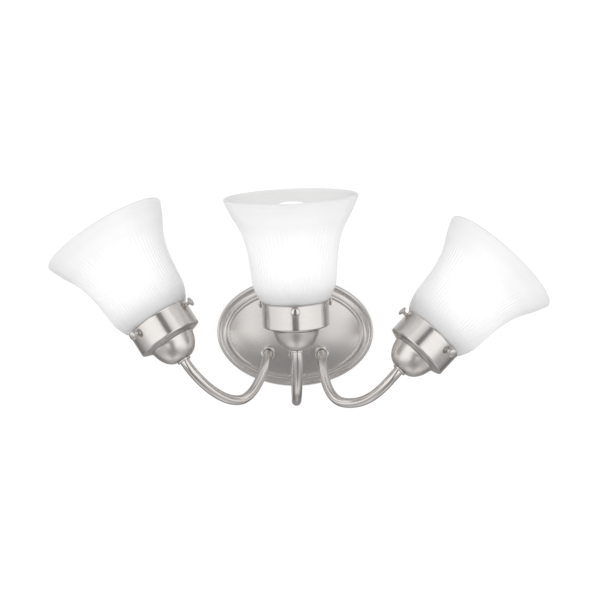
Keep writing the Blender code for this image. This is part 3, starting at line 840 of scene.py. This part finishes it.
def build_shade(side):
    outline, outer_count = shade_outline()
    shade = turned("glass_shade_" + side, outline, shade_glass, SHADE_STEPS)
    skin, glow, tone = [], [], []
    for i, vertex in enumerate(shade.data.vertices):
        row, height = i // SHADE_STEPS, vertex.co.z / MM
        outside = row < outer_count + 4
        skin.append(float(row < outer_count))
        # glow is painted light for the lamp inside, and tone is painted shade at the foot and inside.
        glow.append(along_keys(GLOW_KEYS, height) * (1.0 if outside else INNER_GLOW))
        tone.append(along_keys(PAINTED_FOOT_SHADE_KEYS, height) if outside else INNER_PAINTED_SHADE_TONE)
    store(shade, "skin", skin)
    store(shade, "glow", glow)
    store(shade, "tone", tone)
    apply_tree(shade, RIBS, Ribs=RIB_COUNT, Depth=RIB_DEPTH, Low=0.027, High=0.103, Fade=0.014, Drift=90.0)
    return hand_over(settle(shade, cup_frame(side)), side + "_shade", "etched_glass", "shade_" + side)


for side in SIDES:
    shade = build_shade(side)
    print(shade.name, len(shade.data.polygons), "faces")

# %% [markdown]
# ## Holders, cups and collars
# The holder is a shallow pan spun from sheet: a straight wall with a rolled edge, and a
# floor that falls away as a cone. Under it sits the bell-shaped cup that hides the nut,
# and a small collar ends the tube. Three holes in the holder's wall take thumb screws.

# %% Holder, cup and collar
COLLAR_TOP, COLLAR_FOOT = -22.9, -24.9


def build_holder(side):
    corners = [(31.3, 0.6, 0.5), (30.6, -0.25, 0.4), (23.6, -2.7, 0.6), (22.3, -3.1, 0.3),
               (5.2, -3.1, 0.2), (5.2, -2.2, 0.2), (22.2, -2.2, 0.4), (23.6, -1.8, 0.5),
               (30.1, 0.7, 0.6), (30.4, 1.4, 0.7), (30.4, 23.1, 0.3)]
    edge = [(30.5, 23.45), (30.9, 23.6), (31.35, 23.5), (31.55, 23.2), (31.5, 22.8), (31.32, 22.5)]
    holder = turned("spun_holder_" + side, rounded(corners, 4) + edge, nickel_round, 128)
    to_cup = cup_frame(side).inverted()
    for number in (1, 2, 3):
        drill(holder, 2.1, 27.0, 34.0, to_cup @ screw_frame(side, number))
    return settle(holder, cup_frame(side))


def build_cup(side):
    bell = smooth_outline([(22.7, -3.2), (22.2, -4.0), (21.7, -5.5), (21.0, -8.0), (19.8, -11.4),
                           (18.0, -14.8), (15.4, -18.3), (12.0, -21.0), (9.0, -22.3), (6.4, -22.6)], 4)
    inner = inward(bell, 0.9)
    inner[0] = (21.7, -3.2)
    outline = bell + [(5.2, -22.6), (5.2, -21.7)] + inner[::-1]
    return turned_on_cup("spun_cup_", side, outline, nickel_spun_painted_light, 128)


def build_collar(side):
    ring = rounded([(6.9, COLLAR_TOP, 0.9), (6.9, COLLAR_FOOT, 0.9), (4.9, COLLAR_FOOT, 0.3),
                    (4.9, COLLAR_TOP, 0.3)], 5)
    return turned_on_cup("collar_ring_", side, ring, nickel_round, 64)


for side in SIDES:
    for build, node in ((build_holder, "shade_holder_"), (build_cup, "cup_"), (build_collar, "collar_")):
        hand_over(build(side), "fixture", "brushed_nickel", node + side)
print("holders, cups and collars")

# %% [markdown]
# ## Thumb screws
# Nine small screws hold the glass. Each has a threaded shank and a flat round head with
# straight knurling. The knurl repeats the same little ridge round the rim, so Geometry
# Nodes put one ridge on every point of a circle and make them real.

# %% Tree: knurled rim
def build_knurl_tree():
    tree, given, made = new_geometry_tree(
        "knurled_rim", {"Ridges": 28, "Rim Radius": 0.004, "Ridge Radius": 0.0003, "Low": 0.0, "High": 0.002})
    ring = add_node(tree, "GeometryNodeMeshCircle",
                    {"Vertices": given["Ridges"], "Radius": given["Rim Radius"]})
    height = maths(tree, "SUBTRACT", given["High"], given["Low"])
    ridge = add_node(tree, "GeometryNodeMeshCylinder",
                     {"Vertices": 8, "Radius": given["Ridge Radius"], "Depth": height})
    rows = add_node(tree, "GeometryNodeInstanceOnPoints",
                    {"Points": ring.outputs["Mesh"], "Instance": ridge.outputs["Mesh"]})
    half = product(tree, maths(tree, "ADD", given["High"], given["Low"]), 0.5)
    middle = add_node(tree, "ShaderNodeCombineXYZ", {2: half})
    lift = add_node(tree, "GeometryNodeTransform",
                    {"Geometry": rows.outputs[0], "Translation": middle.outputs[0]})
    join = add_node(tree, "GeometryNodeJoinGeometry", {0: given["Geometry"]})
    tree.links.new(lift.outputs[0], join.inputs[0])
    return finish_tree(tree, given, made, join.outputs[0])


KNURL = build_knurl_tree()


# %% Thumb screws
def build_thumb_screw(name, place):
    outline = rounded([(0.0, 38.7), (1.7, 38.6, 0.7), (3.1, 38.3, 0.6), (3.7, 38.05, 0.2),
                       (4.05, 37.7, 0.2), (4.02, 36.5, 0.3), (3.6, 36.1, 0.3), (2.5, 36.1, 0.3),
                       (2.1, 35.2, 0.3), (1.65, 34.8), (1.65, 29.0), (1.2, 28.45), (0.0, 28.35)], 3)
    screw = turned(name, fine_span(outline, 29.0, 34.8, 0.12), nickel_round, 32)
    mark_skin(screw, lambda radius, height: 1.5 < radius < 1.75 and height < 35.0)
    apply_tree(screw, THREAD, Pitch=0.0007, Depth=0.00014, Low=0.0288, High=0.0349, Fade=0.0004)
    apply_tree(screw, KNURL, Ridges=30, Rim_Radius=0.00402, Ridge_Radius=0.00028, Low=0.03645,
               High=0.03785)
    return settle(screw, place)


for side in SIDES:
    for number in (1, 2, 3):
        screw = build_thumb_screw("knurled_screw_%s_%d" % (side, number), screw_frame(side, number))
        hand_over(screw, "%s_screw_%d" % (side, number), "brushed_nickel",
                  "thumb_screw_%s_%d" % (side, number))
print("nine thumb screws of", len(screw.data.polygons), "faces")

# %% [markdown]
# ## Arms and ferrules
# An arm is 9.5 mm tube bent by hand over a former: straight out of the plate, down and
# outwards, and up into its cup. The centre line is two curves that meet at the low
# point. A tube mesh is swept along it, with the grain running lengthwise.

# %% Arm centre lines
ARMS = {
    "left": dict(exit_x=-27.1, low=(-53.2, -76.5, -52.8), heading=217.0, handles=(21, 21, 24, 17)),
    "centre": dict(exit_x=0.0, low=(1.4, -78.0, -52.3), heading=270.0, handles=(24, 22, 27, 30)),
    "right": dict(exit_x=26.6, low=(48.2, -77.2, -55.4), heading=332.0, handles=(22, 24, 28, 19)),
}
ARM_EXIT_Z = -19.2
ARM_TAIL_Y = -8.0
ARM_FREE_Y = -22.0
TUBE_R = 4.75
TUBE_BORE_R = 3.95
FINE_PITCH = 0.94                      # of the threads on the tubes and on the nipple
TAIL_THREAD_Y = -15.5


def arm_line(side, per_curve=44):
    arm, cup = ARMS[side], cup_frame(side)
    axis, foot = cup.col[2].to_3d(), cup.translation
    start = Vector((arm["exit_x"], ARM_FREE_Y, ARM_EXIT_Z)) * MM
    low = Vector(arm["low"]) * MM
    end = foot + axis * COLLAR_FOOT * MM
    heading = math.radians(arm["heading"])
    along = Vector((math.cos(heading), math.sin(heading), 0.0))
    out, back, on, up = [length * MM for length in arm["handles"]]
    first = interpolate_bezier(start, start + Vector((0.0, -out, 0.0)), low - along * back, low,
                               per_curve)
    second = interpolate_bezier(low, low + along * on, end - axis * up, end, per_curve)
    tail = Vector((arm["exit_x"], ARM_TAIL_Y, ARM_EXIT_Z)) * MM
    straight = [tail.lerp(start, k / 60) for k in range(60)]
    top = [end.lerp(foot + axis * 1.5 * MM, k / 8) for k in range(1, 9)]
    return straight + first + second[1:] + top


def swept_tube(name, line, radius, bore, material, sides=40):
    """A hollow tube along the line. Each ring is turned as little as possible from the
    one before, so that the tube doesn't twist. The grain runs lengthwise."""
    way = (line[1] - line[0]).normalized()
    side_axis = way.orthogonal().normalized()
    vertices, grain, rings = [], [], []
    for wall in (radius, bore):
        side_now, run = side_axis.copy(), 0.0
        for i, place in enumerate(line):
            way = (line[min(i + 1, len(line) - 1)] - line[max(i - 1, 0)]).normalized()
            side_now = (side_now - way * side_now.dot(way)).normalized()
            up = way.cross(side_now)
            run += (place - line[i - 1]).length / MM if i else 0.0
            rings.append(range(len(vertices), len(vertices) + sides))
            for a in around(sides):
                vertices.append(place + (side_now * math.cos(a) + up * math.sin(a)) * wall * MM)
                grain.append((math.cos(a), math.sin(a), run))
    outer, inner = rings[:len(line)], rings[len(line):]
    obj = new_object(name, vertices, band_faces(outer + inner[::-1], True), material)
    store(obj, "grain", grain)
    face_outwards(obj.data)
    return obj


# %% Arms
def run_length(line):
    return sum((b - a).length for a, b in zip(line, line[1:]))


def cut_tail_thread(obj, side):
    """Cuts a fine thread on the tube's tail, behind the plate."""
    exit_x = ARMS[side]["exit_x"] * MM
    for vertex in obj.data.vertices:
        x, z = vertex.co.x - exit_x, vertex.co.z - ARM_EXIT_Z * MM
        radius = math.hypot(x, z)
        if vertex.co.y > TAIL_THREAD_Y * MM and radius > 4.5 * MM:
            wave = math.cos(vertex.co.y / MM * 2 * math.pi / FINE_PITCH - math.atan2(z, x))
            scale = 1.0 + (wave * 0.16 - 0.12) * MM / radius
            vertex.co.x, vertex.co.z = exit_x + x * scale, ARM_EXIT_Z * MM + z * scale


for side in SIDES:
    arm = swept_tube("bent_arm_" + side, arm_line(side), TUBE_R, TUBE_BORE_R, nickel_tube)
    cut_tail_thread(arm, side)
    hand_over(settle(arm, lengthwise=True), "fixture", "brushed_nickel", "arm_" + side)
    print("arm", side, "is", round(run_length(arm_line(side)) / MM), "mm long")


# %% [markdown]
# ## Backplate
# The plate is one oval pressing. From its edge inwards it has a rolled lip, a hollow
# band, a step up to a small bead, and a shallow domed field. Every ring is an oval with
# the same inset all round, so the whole plate is one section swept round an oval.

# %% Plate section
PLATE_HALF_W, PLATE_HALF_H = 78.5, 55.5
FIELD_INSET = 13.5
FIELD_EDGE, FIELD_RISE = 10.2, 7.0
PLATE_WALL = 0.8
ARM_HOLE_R, NIPPLE_HOLE_R = 5.0, 5.2
# inset from the edge, depth in front of the wall, rounding
PLATE_SECTION = ((0.0, 0.0), (0.0, 3.9, 1.6), (1.2, 5.5, 1.0), (3.2, 5.5, 0.9), (4.3, 4.9, 0.9),
                 (7.6, 5.1, 1.6), (9.6, 7.2, 0.8), (10.4, 10.4, 0.7), (11.5, 11.3, 0.6),
                 (12.6, 11.1, 0.5), (13.2, 10.25, 0.25), (13.9, 10.3, 0.3))


def field_depth(x, z):
    reach = (x / (PLATE_HALF_W - FIELD_INSET)) ** 2 + (z / (PLATE_HALF_H - FIELD_INSET)) ** 2
    return FIELD_EDGE + FIELD_RISE * (1.0 - reach)


def build_plate(sides=256):
    edge = rounded([(inset, depth, *rest) for inset, depth, *rest in PLATE_SECTION]
                   + [(16.0, 10.9)], 5)[:-1]
    sections = [(PLATE_HALF_W - inset, PLATE_HALF_H - inset, depth, inset) for inset, depth in edge]
    for k in range(23, 0, -1):
        share = k / 24
        w, h = share * (PLATE_HALF_W - FIELD_INSET), share * (PLATE_HALF_H - FIELD_INSET)
        sections.append((w, h, FIELD_EDGE + FIELD_RISE * (1.0 - share * share), PLATE_HALF_H - h))
    vertices, grain, bands = [], [], []
    for w, h, depth, inset in sections:
        bands.append(range(len(vertices), len(vertices) + sides))
        vertices += [Vector((w * math.cos(a), -depth, h * math.sin(a))) * MM for a in around(sides)]
        grain += [(math.cos(a), math.sin(a), inset) for a in around(sides)]
    bands.append([len(vertices)])
    vertices.append(Vector((0.0, -(FIELD_EDGE + FIELD_RISE), 0.0)) * MM)
    grain.append((0.0, 0.0, PLATE_HALF_H))
    plate = new_object("pressed_backplate", vertices, band_faces(bands, False), nickel_satin)
    store(plate, "grain", grain)
    if plate.data.polygons[-1].normal.y > 0:
        plate.data.flip_normals()
    wall = plate.modifiers.new("wall", "SOLIDIFY")
    wall.thickness = PLATE_WALL * MM
    wall.offset = -1.0
    bake(plate)
    for side in SIDES:
        drill(plate, ARM_HOLE_R, 4.0, 26.0, facing_room(ARMS[side]["exit_x"], 0.0, ARM_EXIT_Z), 48)
    drill(plate, NIPPLE_HOLE_R, 4.0, 26.0, facing_room(0.0, 0.0, 0.0), 48)
    return settle(plate)


plate = hand_over(build_plate(), "fixture", "brushed_nickel", "backplate")
print("plate:", len(plate.data.polygons), "faces")


# %% Ferrules: their backs follow the plate's dome
def build_ferrule(side):
    exit_x = ARMS[side]["exit_x"]
    surface = field_depth(exit_x, ARM_EXIT_Z)
    front = surface + 5.0
    outline = rounded([(6.0, front, 0.4), (6.0, front - 1.6, 0.35), (7.0, front - 2.1, 0.5),
                       (7.0, surface - 2.0), (4.95, surface - 2.0), (4.95, front, 0.35)], 4)
    ferrule = turned("ferrule_ring_" + side, outline, nickel_round, 64)
    ferrule.data.transform(facing_room(exit_x, 0.0, ARM_EXIT_Z))
    for vertex in ferrule.data.vertices:
        x, z = vertex.co.x / MM, vertex.co.z / MM
        if -vertex.co.y / MM < surface - 1.9:
            vertex.co.y = -(field_depth(x, z) + 0.05) * MM
    return settle(ferrule)


for side in SIDES:
    hand_over(build_ferrule(side), "fixture", "brushed_nickel", "ferrule_" + side)
print("ferrules")

# %% [markdown]
# ## Sockets and lamps
# Inside each holder stands a white moulded socket with a brass screw shell and a contact.
# The lamp has an aluminium cap with the same round thread, a dark insulating ring with a
# contact, and a globe that is white inside. The rolled thread is the thread tree again.

# %% Socket
THREAD_PITCH = 0.00363


def build_socket(side):
    outline = rounded([(18.6, 31.0, 0.7), (18.6, 22.0), (18.6, 21.6, 0.2), (18.1, 21.2, 0.2),
                       (18.1, 20.6, 0.2), (18.6, 20.2, 0.2), (18.6, 5.0, 0.8), (14.5, 0.5, 0.8),
                       (14.5, -1.9, 0.4), (5.05, -1.9, 0.3), (5.05, 3.0), (2.6, 3.0), (2.6, 5.6, 0.3),
                       (14.2, 5.6, 0.4), (14.2, 31.0, 0.6)], 4)
    socket = turned("lamp_socket_" + side, outline, phenolic, 96)
    mark_skin(socket, lambda radius, height: radius > 18.0)
    apply_tree(socket, RIBS, Ribs=24, Depth=0.0001, Low=0.0065, High=0.0195, Fade=0.001)
    return settle(socket, cup_frame(side))


def build_socket_shell(side):
    outline = [(13.9, 30.0), (13.9, 10.0), (13.3, 10.0), (13.3, 30.0)]
    shell = turned("screw_shell_" + side, fine_span(outline, 10.0, 30.0, 0.45), brass, 72)
    mark_skin(shell, lambda radius, height: True)
    apply_tree(shell, THREAD, Pitch=THREAD_PITCH, Depth=0.00025, Low=0.0105, High=0.0285, Fade=0.0015)
    return settle(shell, cup_frame(side))


def build_contact(side):
    outline = rounded([(0.0, 8.2), (1.9, 8.15, 0.8), (3.0, 7.3, 0.5), (4.6, 6.9, 0.3), (4.6, 5.9, 0.2),
                       (0.0, 5.9)], 4)
    return turned_on_cup("contact_button_", side, outline, brass, 40)


# %% Lamp
LAMP_GLOBE = ((0.0, 115.7), (6.0, 115.3), (12.0, 113.8), (18.0, 110.2), (23.2, 104.6), (27.2, 97.9),
              (29.4, 90.5), (30.0, 84.0), (29.2, 76.5), (26.9, 69.3), (23.4, 63.3), (19.6, 57.4),
              (16.8, 51.6), (14.9, 45.4), (13.4, 39.2), (12.6, 33.5))
LAMP_GLASS = 0.7
LAMP_GLOW = ((30.0, 0.10), (44.0, 0.42), (60.0, 0.85), (76.0, 1.0), (115.0, 1.0))


def build_lamp_cap(side):
    outer = rounded([(13.0, 33.2, 0.3), (13.0, 16.2, 1.2), (11.0, 13.4, 0.6), (7.2, 12.2, 0.6),
                     (7.2, 11.4, 0.2), (6.4, 11.4, 0.2), (6.4, 12.9, 0.3), (10.5, 14.2, 0.5),
                     (12.35, 16.8, 0.8), (12.35, 33.2, 0.2)], 3)
    cap = turned("lamp_cap_" + side, fine_span(outer, 16.0, 33.0, 0.4), cap_metal, 96)
    mark_skin(cap, lambda radius, height: radius > 12.0)
    apply_tree(cap, THREAD, Pitch=THREAD_PITCH, Depth=0.00026, Low=0.0165, High=0.0315, Fade=0.0016)
    return settle(cap, cup_frame(side))


def build_lamp_tip(side):
    ring = rounded([(3.2, 9.6, 0.2), (5.4, 10.2, 0.4), (7.0, 11.6, 0.3), (6.2, 12.8, 0.3),
                    (3.2, 12.2, 0.2)], 3)
    return turned_on_cup("lamp_insulator_", side, ring, insulator, 48)


def build_lamp_contact(side):
    outline = rounded([(0.0, 8.5), (2.6, 8.6, 0.8), (3.6, 9.6, 0.4), (3.1, 10.6, 0.2), (0.0, 10.8)], 4)
    return turned_on_cup("lamp_contact_", side, outline, cap_metal, 32)


def build_lamp_globe(side):
    outer = smooth_outline(LAMP_GLOBE, 3)
    inner = inward(outer, LAMP_GLASS)
    inner[0] = (0.0, outer[0][1] - LAMP_GLASS)
    globe = turned("lamp_globe_" + side, outer + inner[::-1], lamp_glass, 96)
    store(globe, "glow", [along_keys(LAMP_GLOW, v.co.z / MM) for v in globe.data.vertices])
    store(globe, "tone", [0.9] * len(globe.data.vertices))
    return settle(globe, cup_frame(side))


for side in SIDES:
    lamp = side + "_bulb"
    for build, body, slot, *nodes in (
            (build_socket, "fixture", "phenolic_white", "socket_" + side),
            (build_socket_shell, "fixture", "plated_brass", "socket_shell_" + side),
            (build_contact, "fixture", "plated_brass", "socket_contact_" + side),
            (build_lamp_cap, lamp, "aluminium_cap", "bulb_cap_" + side),
            (build_lamp_tip, lamp, "aluminium_cap"),
            (build_lamp_contact, lamp, "aluminium_cap"),
            (build_lamp_globe, lamp, "bulb_glass", "bulb_" + side)):
        hand_over(build(side), body, slot, *nodes)
print("sockets and lamps")

# %% [markdown]
# ## Hexagon nuts
# A nut is cut from hexagon bar and its corners are turned off on a lathe, which leaves
# curved edges where the cone meets the flats. The mesh is made the same way: rings of a
# hexagon whose height at each angle follows the cone.

# %% Hexagon nut
def hex_nut(name, corner_r, bore_r, height, place, steps=72):
    """A nut with both faces turned off at the corners; sizes in mm."""
    flat_r = corner_r * math.cos(math.radians(30))
    vertices, grain, rows = [], [], []
    for a in around(steps):
        reach = flat_r / math.cos((a + math.pi / 6) % (math.pi / 3) - math.pi / 6)
        drop = (reach - flat_r * 0.985) * math.tan(math.radians(28))
        outline = [(bore_r + 0.3, 0.0), (flat_r * 0.97, 0.0), (reach, drop), (reach, height - drop),
                   (flat_r * 0.97, height), (bore_r + 0.3, height), (bore_r, height - 0.3), (bore_r, 0.3)]
        rows.append(range(len(vertices), len(vertices) + len(outline)))
        vertices += [Vector((r * math.cos(a), r * math.sin(a), z)) * MM for r, z in outline]
        grain += [(math.cos(a), math.sin(a), r + z) for r, z in outline]
    nut = new_object(name, vertices, band_faces(rows, True), zinc)
    store(nut, "grain", grain)
    face_outwards(nut.data)
    return settle(nut, place, 26.0)


for side in SIDES:
    exit_x = ARMS[side]["exit_x"]
    nut_front = field_depth(exit_x, ARM_EXIT_Z) - PLATE_WALL - 1.6
    for stem, node, corner_r, height, place in (
            ("arm_hex_nut_", "arm_nut_", 7.3, 3.0, facing_room(exit_x, 3.0 - nut_front, ARM_EXIT_Z)),
            ("cup_hex_nut_", "cup_nut_", 7.0, 3.5,
             cup_frame(side) @ Matrix.Translation((0.0, 0.0, -21.4 * MM)))):
        hand_over(hex_nut(stem + side, corner_r, 4.8, height, place), "fixture", "zinc_steel", node + side)
hand_over(hex_nut("nipple_hex_nut", 8.0, 4.95, 3.4, facing_room(0.0, -1.9, 0.0)),
          "fixture", "zinc_steel", "nipple_lock_nut")
print("seven nuts")


# %% [markdown]
# ## Fixing behind the plate
# A steel crossbar is screwed to the wall box, a threaded nipple stands in its middle,
# and a domed cap nut on the nipple pulls the plate to the wall. The leads of the three
# lamps come out of the tubes and meet in two twist connectors.

# %% Crossbar
GROUND_HOLE = (24.0, 5.0)


def rounded_strip(half_length, half_height, corner, depth_low, depth_high, rows=10):
    """A flat strip with round corners in the wall plane, as a closed bmesh; mm."""
    bm = bmesh.new()
    outline = []
    for cx, cz, start in ((1, 1, 0), (-1, 1, 90), (-1, -1, 180), (1, -1, 270)):
        for k in range(rows + 1):
            a = math.radians(start + 90 * k / rows)
            outline.append((cx * (half_length - corner) + corner * math.cos(a),
                            cz * (half_height - corner) + corner * math.sin(a)))
    face = bm.faces.new([bm.verts.new((x * MM, -depth_low * MM, z * MM)) for x, z in outline])
    made = bmesh.ops.extrude_face_region(bm, geom=[face])["geom"]
    moved = [item for item in made if isinstance(item, bmesh.types.BMVert)]
    bmesh.ops.translate(bm, verts=moved, vec=(0.0, (depth_low - depth_high) * MM, 0.0))
    bmesh.ops.recalc_face_normals(bm, faces=bm.faces)
    return bm


def build_crossbar():
    bm = rounded_strip(51.0, 10.0, 6.0, 0.0, 1.6)
    edges = [e for e in bm.edges if len(e.link_faces) == 2 and e.calc_face_angle() > 1.2]
    bmesh.ops.bevel(bm, geom=edges, offset=0.25 * MM, segments=2, affect="EDGES")
    bar = object_from("stamped_crossbar", bm, zinc)
    for x in (-40.0, 40.0):
        slot = rounded_strip(7.0, 2.3, 2.29, -1.0, 3.0)
        bmesh.ops.translate(slot, verts=slot.verts, vec=(x * MM, 0.0, 0.0))
        cut_with(bar, slot)
    drill(bar, NIPPLE_HOLE_R, -3.0, 3.0, facing_room(0.0, 0.0, 0.0))
    for x, z in (GROUND_HOLE, (-24.0, -5.0), (14.0, -5.5), (-14.0, 5.5)):
        drill(bar, 2.1, -3.0, 3.0, facing_room(x, 0.0, z))
    store(bar, "grain",
          [(v.co.z / MM * 0.2, v.co.y / MM * 0.2, v.co.x / MM * 0.1) for v in bar.data.vertices])
    return settle(bar)


hand_over(build_crossbar(), "fixture", "zinc_steel", "crossbar")


# %% Nipple, cap nut and ground screw
def build_nipple():
    outline = fine_span(rounded([(4.75, 22.0, 0.5), (4.75, 0.0, 0.5), (3.7, 0.0, 0.3), (3.7, 22.0, 0.3)], 2),
                        0.0, 22.0, 0.16, wall=4.75)
    nipple = turned("threaded_nipple", outline, zinc, 48)
    mark_skin(nipple, lambda radius, height: radius > 4.6)
    apply_tree(nipple, THREAD, Pitch=FINE_PITCH * MM, Depth=0.00015, Low=0.0003, High=0.0217, Fade=0.0004)
    return settle(nipple, facing_room(0.0, 0.0, 0.0))


def build_cap_nut():
    base = FIELD_EDGE + FIELD_RISE + 0.1
    outline = rounded([(0.0, base + 9.7), (3.6, base + 9.2, 1.6), (6.3, base + 7.0, 1.6),
                       (6.5, base + 4.2, 0.5), (7.1, base + 4.0, 0.3), (7.1, base + 0.3, 0.3),
                       (6.8, base, 0.2), (5.2, base, 0.2), (5.2, 22.3), (0.0, 22.3)], 4)
    nut = turned("domed_cap_nut", outline, nickel_round, 64)
    apply_tree(nut, KNURL, Ridges=44, Rim_Radius=0.0071, Ridge_Radius=0.00036,
               Low=(base + 0.5) * MM, High=(base + 3.7) * MM)
    return settle(nut, facing_room(0.0, 0.0, 0.0))


def build_ground_screw():
    outline = rounded([(0.0, 4.3), (2.5, 4.2, 1.0), (3.7, 3.3, 0.6), (3.7, 1.9, 0.2), (1.8, 1.9, 0.1),
                       (1.8, 0.3, 0.3), (0.0, 0.3)], 4)
    screw = turned("earth_screw", outline, green, 48)
    bm = bmesh.new()
    bmesh.ops.create_cube(bm, size=1.0)
    bmesh.ops.scale(bm, verts=bm.verts, vec=(0.9 * MM, 9.0 * MM, 1.6 * MM))
    bmesh.ops.translate(bm, verts=bm.verts, vec=(0.0, 0.0, 4.0 * MM))
    cut_with(screw, bm)
    return settle(screw, facing_room(GROUND_HOLE[0], 0.0, GROUND_HOLE[1]))


hand_over(build_nipple(), "fixture", "zinc_steel", "centre_nipple")
hand_over(build_cap_nut(), "fixture", "brushed_nickel", "plate_cap_nut")
hand_over(build_ground_screw(), "fixture", "green_screw", "ground_screw")
print("crossbar, nipple, cap nut and ground screw")


# %% Twist connectors
def build_connector(name, side):
    outer = smooth_outline([(0.0, 19.0), (1.6, 18.8), (2.7, 17.9), (3.1, 15.0), (3.7, 9.0), (4.4, 4.0),
                            (4.8, 1.2), (5.0, 0.5)], 6)
    outline = outer + rounded([(5.0, 0.4), (4.9, 0.0, 0.2), (4.2, 0.0, 0.2), (3.0, 9.0, 0.4),
                               (0.0, 10.0)], 3)
    cone = turned(name, outline, connector, 128)
    mark_skin(cone, lambda radius, height: radius > 2.8 + (19.0 - height) * 0.02 and height > 1.2)
    apply_tree(cone, RIBS, Ribs=16, Depth=0.00016, Low=0.0012, High=0.0172, Fade=0.0016)
    place = Matrix.Translation(Vector((side * 25.5, -7.0, 18.0)) * MM)
    return settle(cone, place @ Matrix.Rotation(side * math.radians(90), 4, "Y"))


for name, side in (("left", -1.0), ("right", 1.0)):
    hand_over(build_connector("twist_connector_" + name, side), "fixture", "connector_plastic",
              "wire_connector_" + name)

# %% [markdown]
# The leads follow paths: down from the socket through the tube, and then round to a
# connector. Curve to Mesh in a Geometry Nodes tree sweeps a round jacket along the path.

# %% Tree: jacket along a path
def build_jacket_tree():
    tree, given, made = new_geometry_tree("jacket_along_path", {"Radius": 0.0017, "Sides": 16})
    ring = add_node(tree, "GeometryNodeCurvePrimitiveCircle",
                    {"Resolution": given["Sides"], "Radius": given["Radius"]})
    sweep = add_node(tree, "GeometryNodeCurveToMesh",
                     {"Curve": given["Geometry"], "Profile Curve": ring.outputs["Curve"], "Fill Caps": True})
    return finish_tree(tree, given, made, sweep.outputs[0])


JACKET = build_jacket_tree()
LEAD_ENDS = {
    "left": ((-26.8, -5.2, -15.5), (-23.6, -4.6, -7.0), (-19.0, -5.6, 7.0), (-20.0, -6.8, 14.6),
             (-24.9, -7.0, 16.1)),
    "centre": ((-0.9, -5.2, -16.6), (-7.0, -4.6, -12.6), (-13.0, -5.4, -1.0), (-14.6, -6.6, 13.0),
               (-18.8, -7.0, 19.0), (-24.9, -7.0, 20.0)),
    "right": ((26.3, -5.2, -15.5), (23.4, -4.6, -7.0), (19.0, -5.6, 7.0), (20.0, -6.8, 14.6),
              (24.9, -7.0, 16.1)),
}


def build_lead(side):
    inside = arm_line(side, 20)[::-1][2:-60:2]
    tail = Vector((ARMS[side]["exit_x"], ARM_TAIL_Y, ARM_EXIT_Z)) * MM
    outside = smooth_line([tuple(tail)] + [tuple(Vector(p) * MM) for p in LEAD_ENDS[side]], 6)
    curve = bpy.data.curves.new("jacketed_lead_" + side, "CURVE")
    curve.dimensions = "3D"
    spline = curve.splines.new("POLY")
    route = inside + outside
    spline.points.add(len(route) - 1)
    spline.points.foreach_set("co", [part for place in route for part in (*place, 1.0)])
    lead = link_object("jacketed_lead_" + side, curve)
    apply_tree(lead, JACKET, Radius=0.0017, Sides=16, Material=jacket)
    return settle(lead)


for side in SIDES:
    hand_over(build_lead(side), "fixture", "lead_jacket", "lead_" + side)
print("leads and connectors")
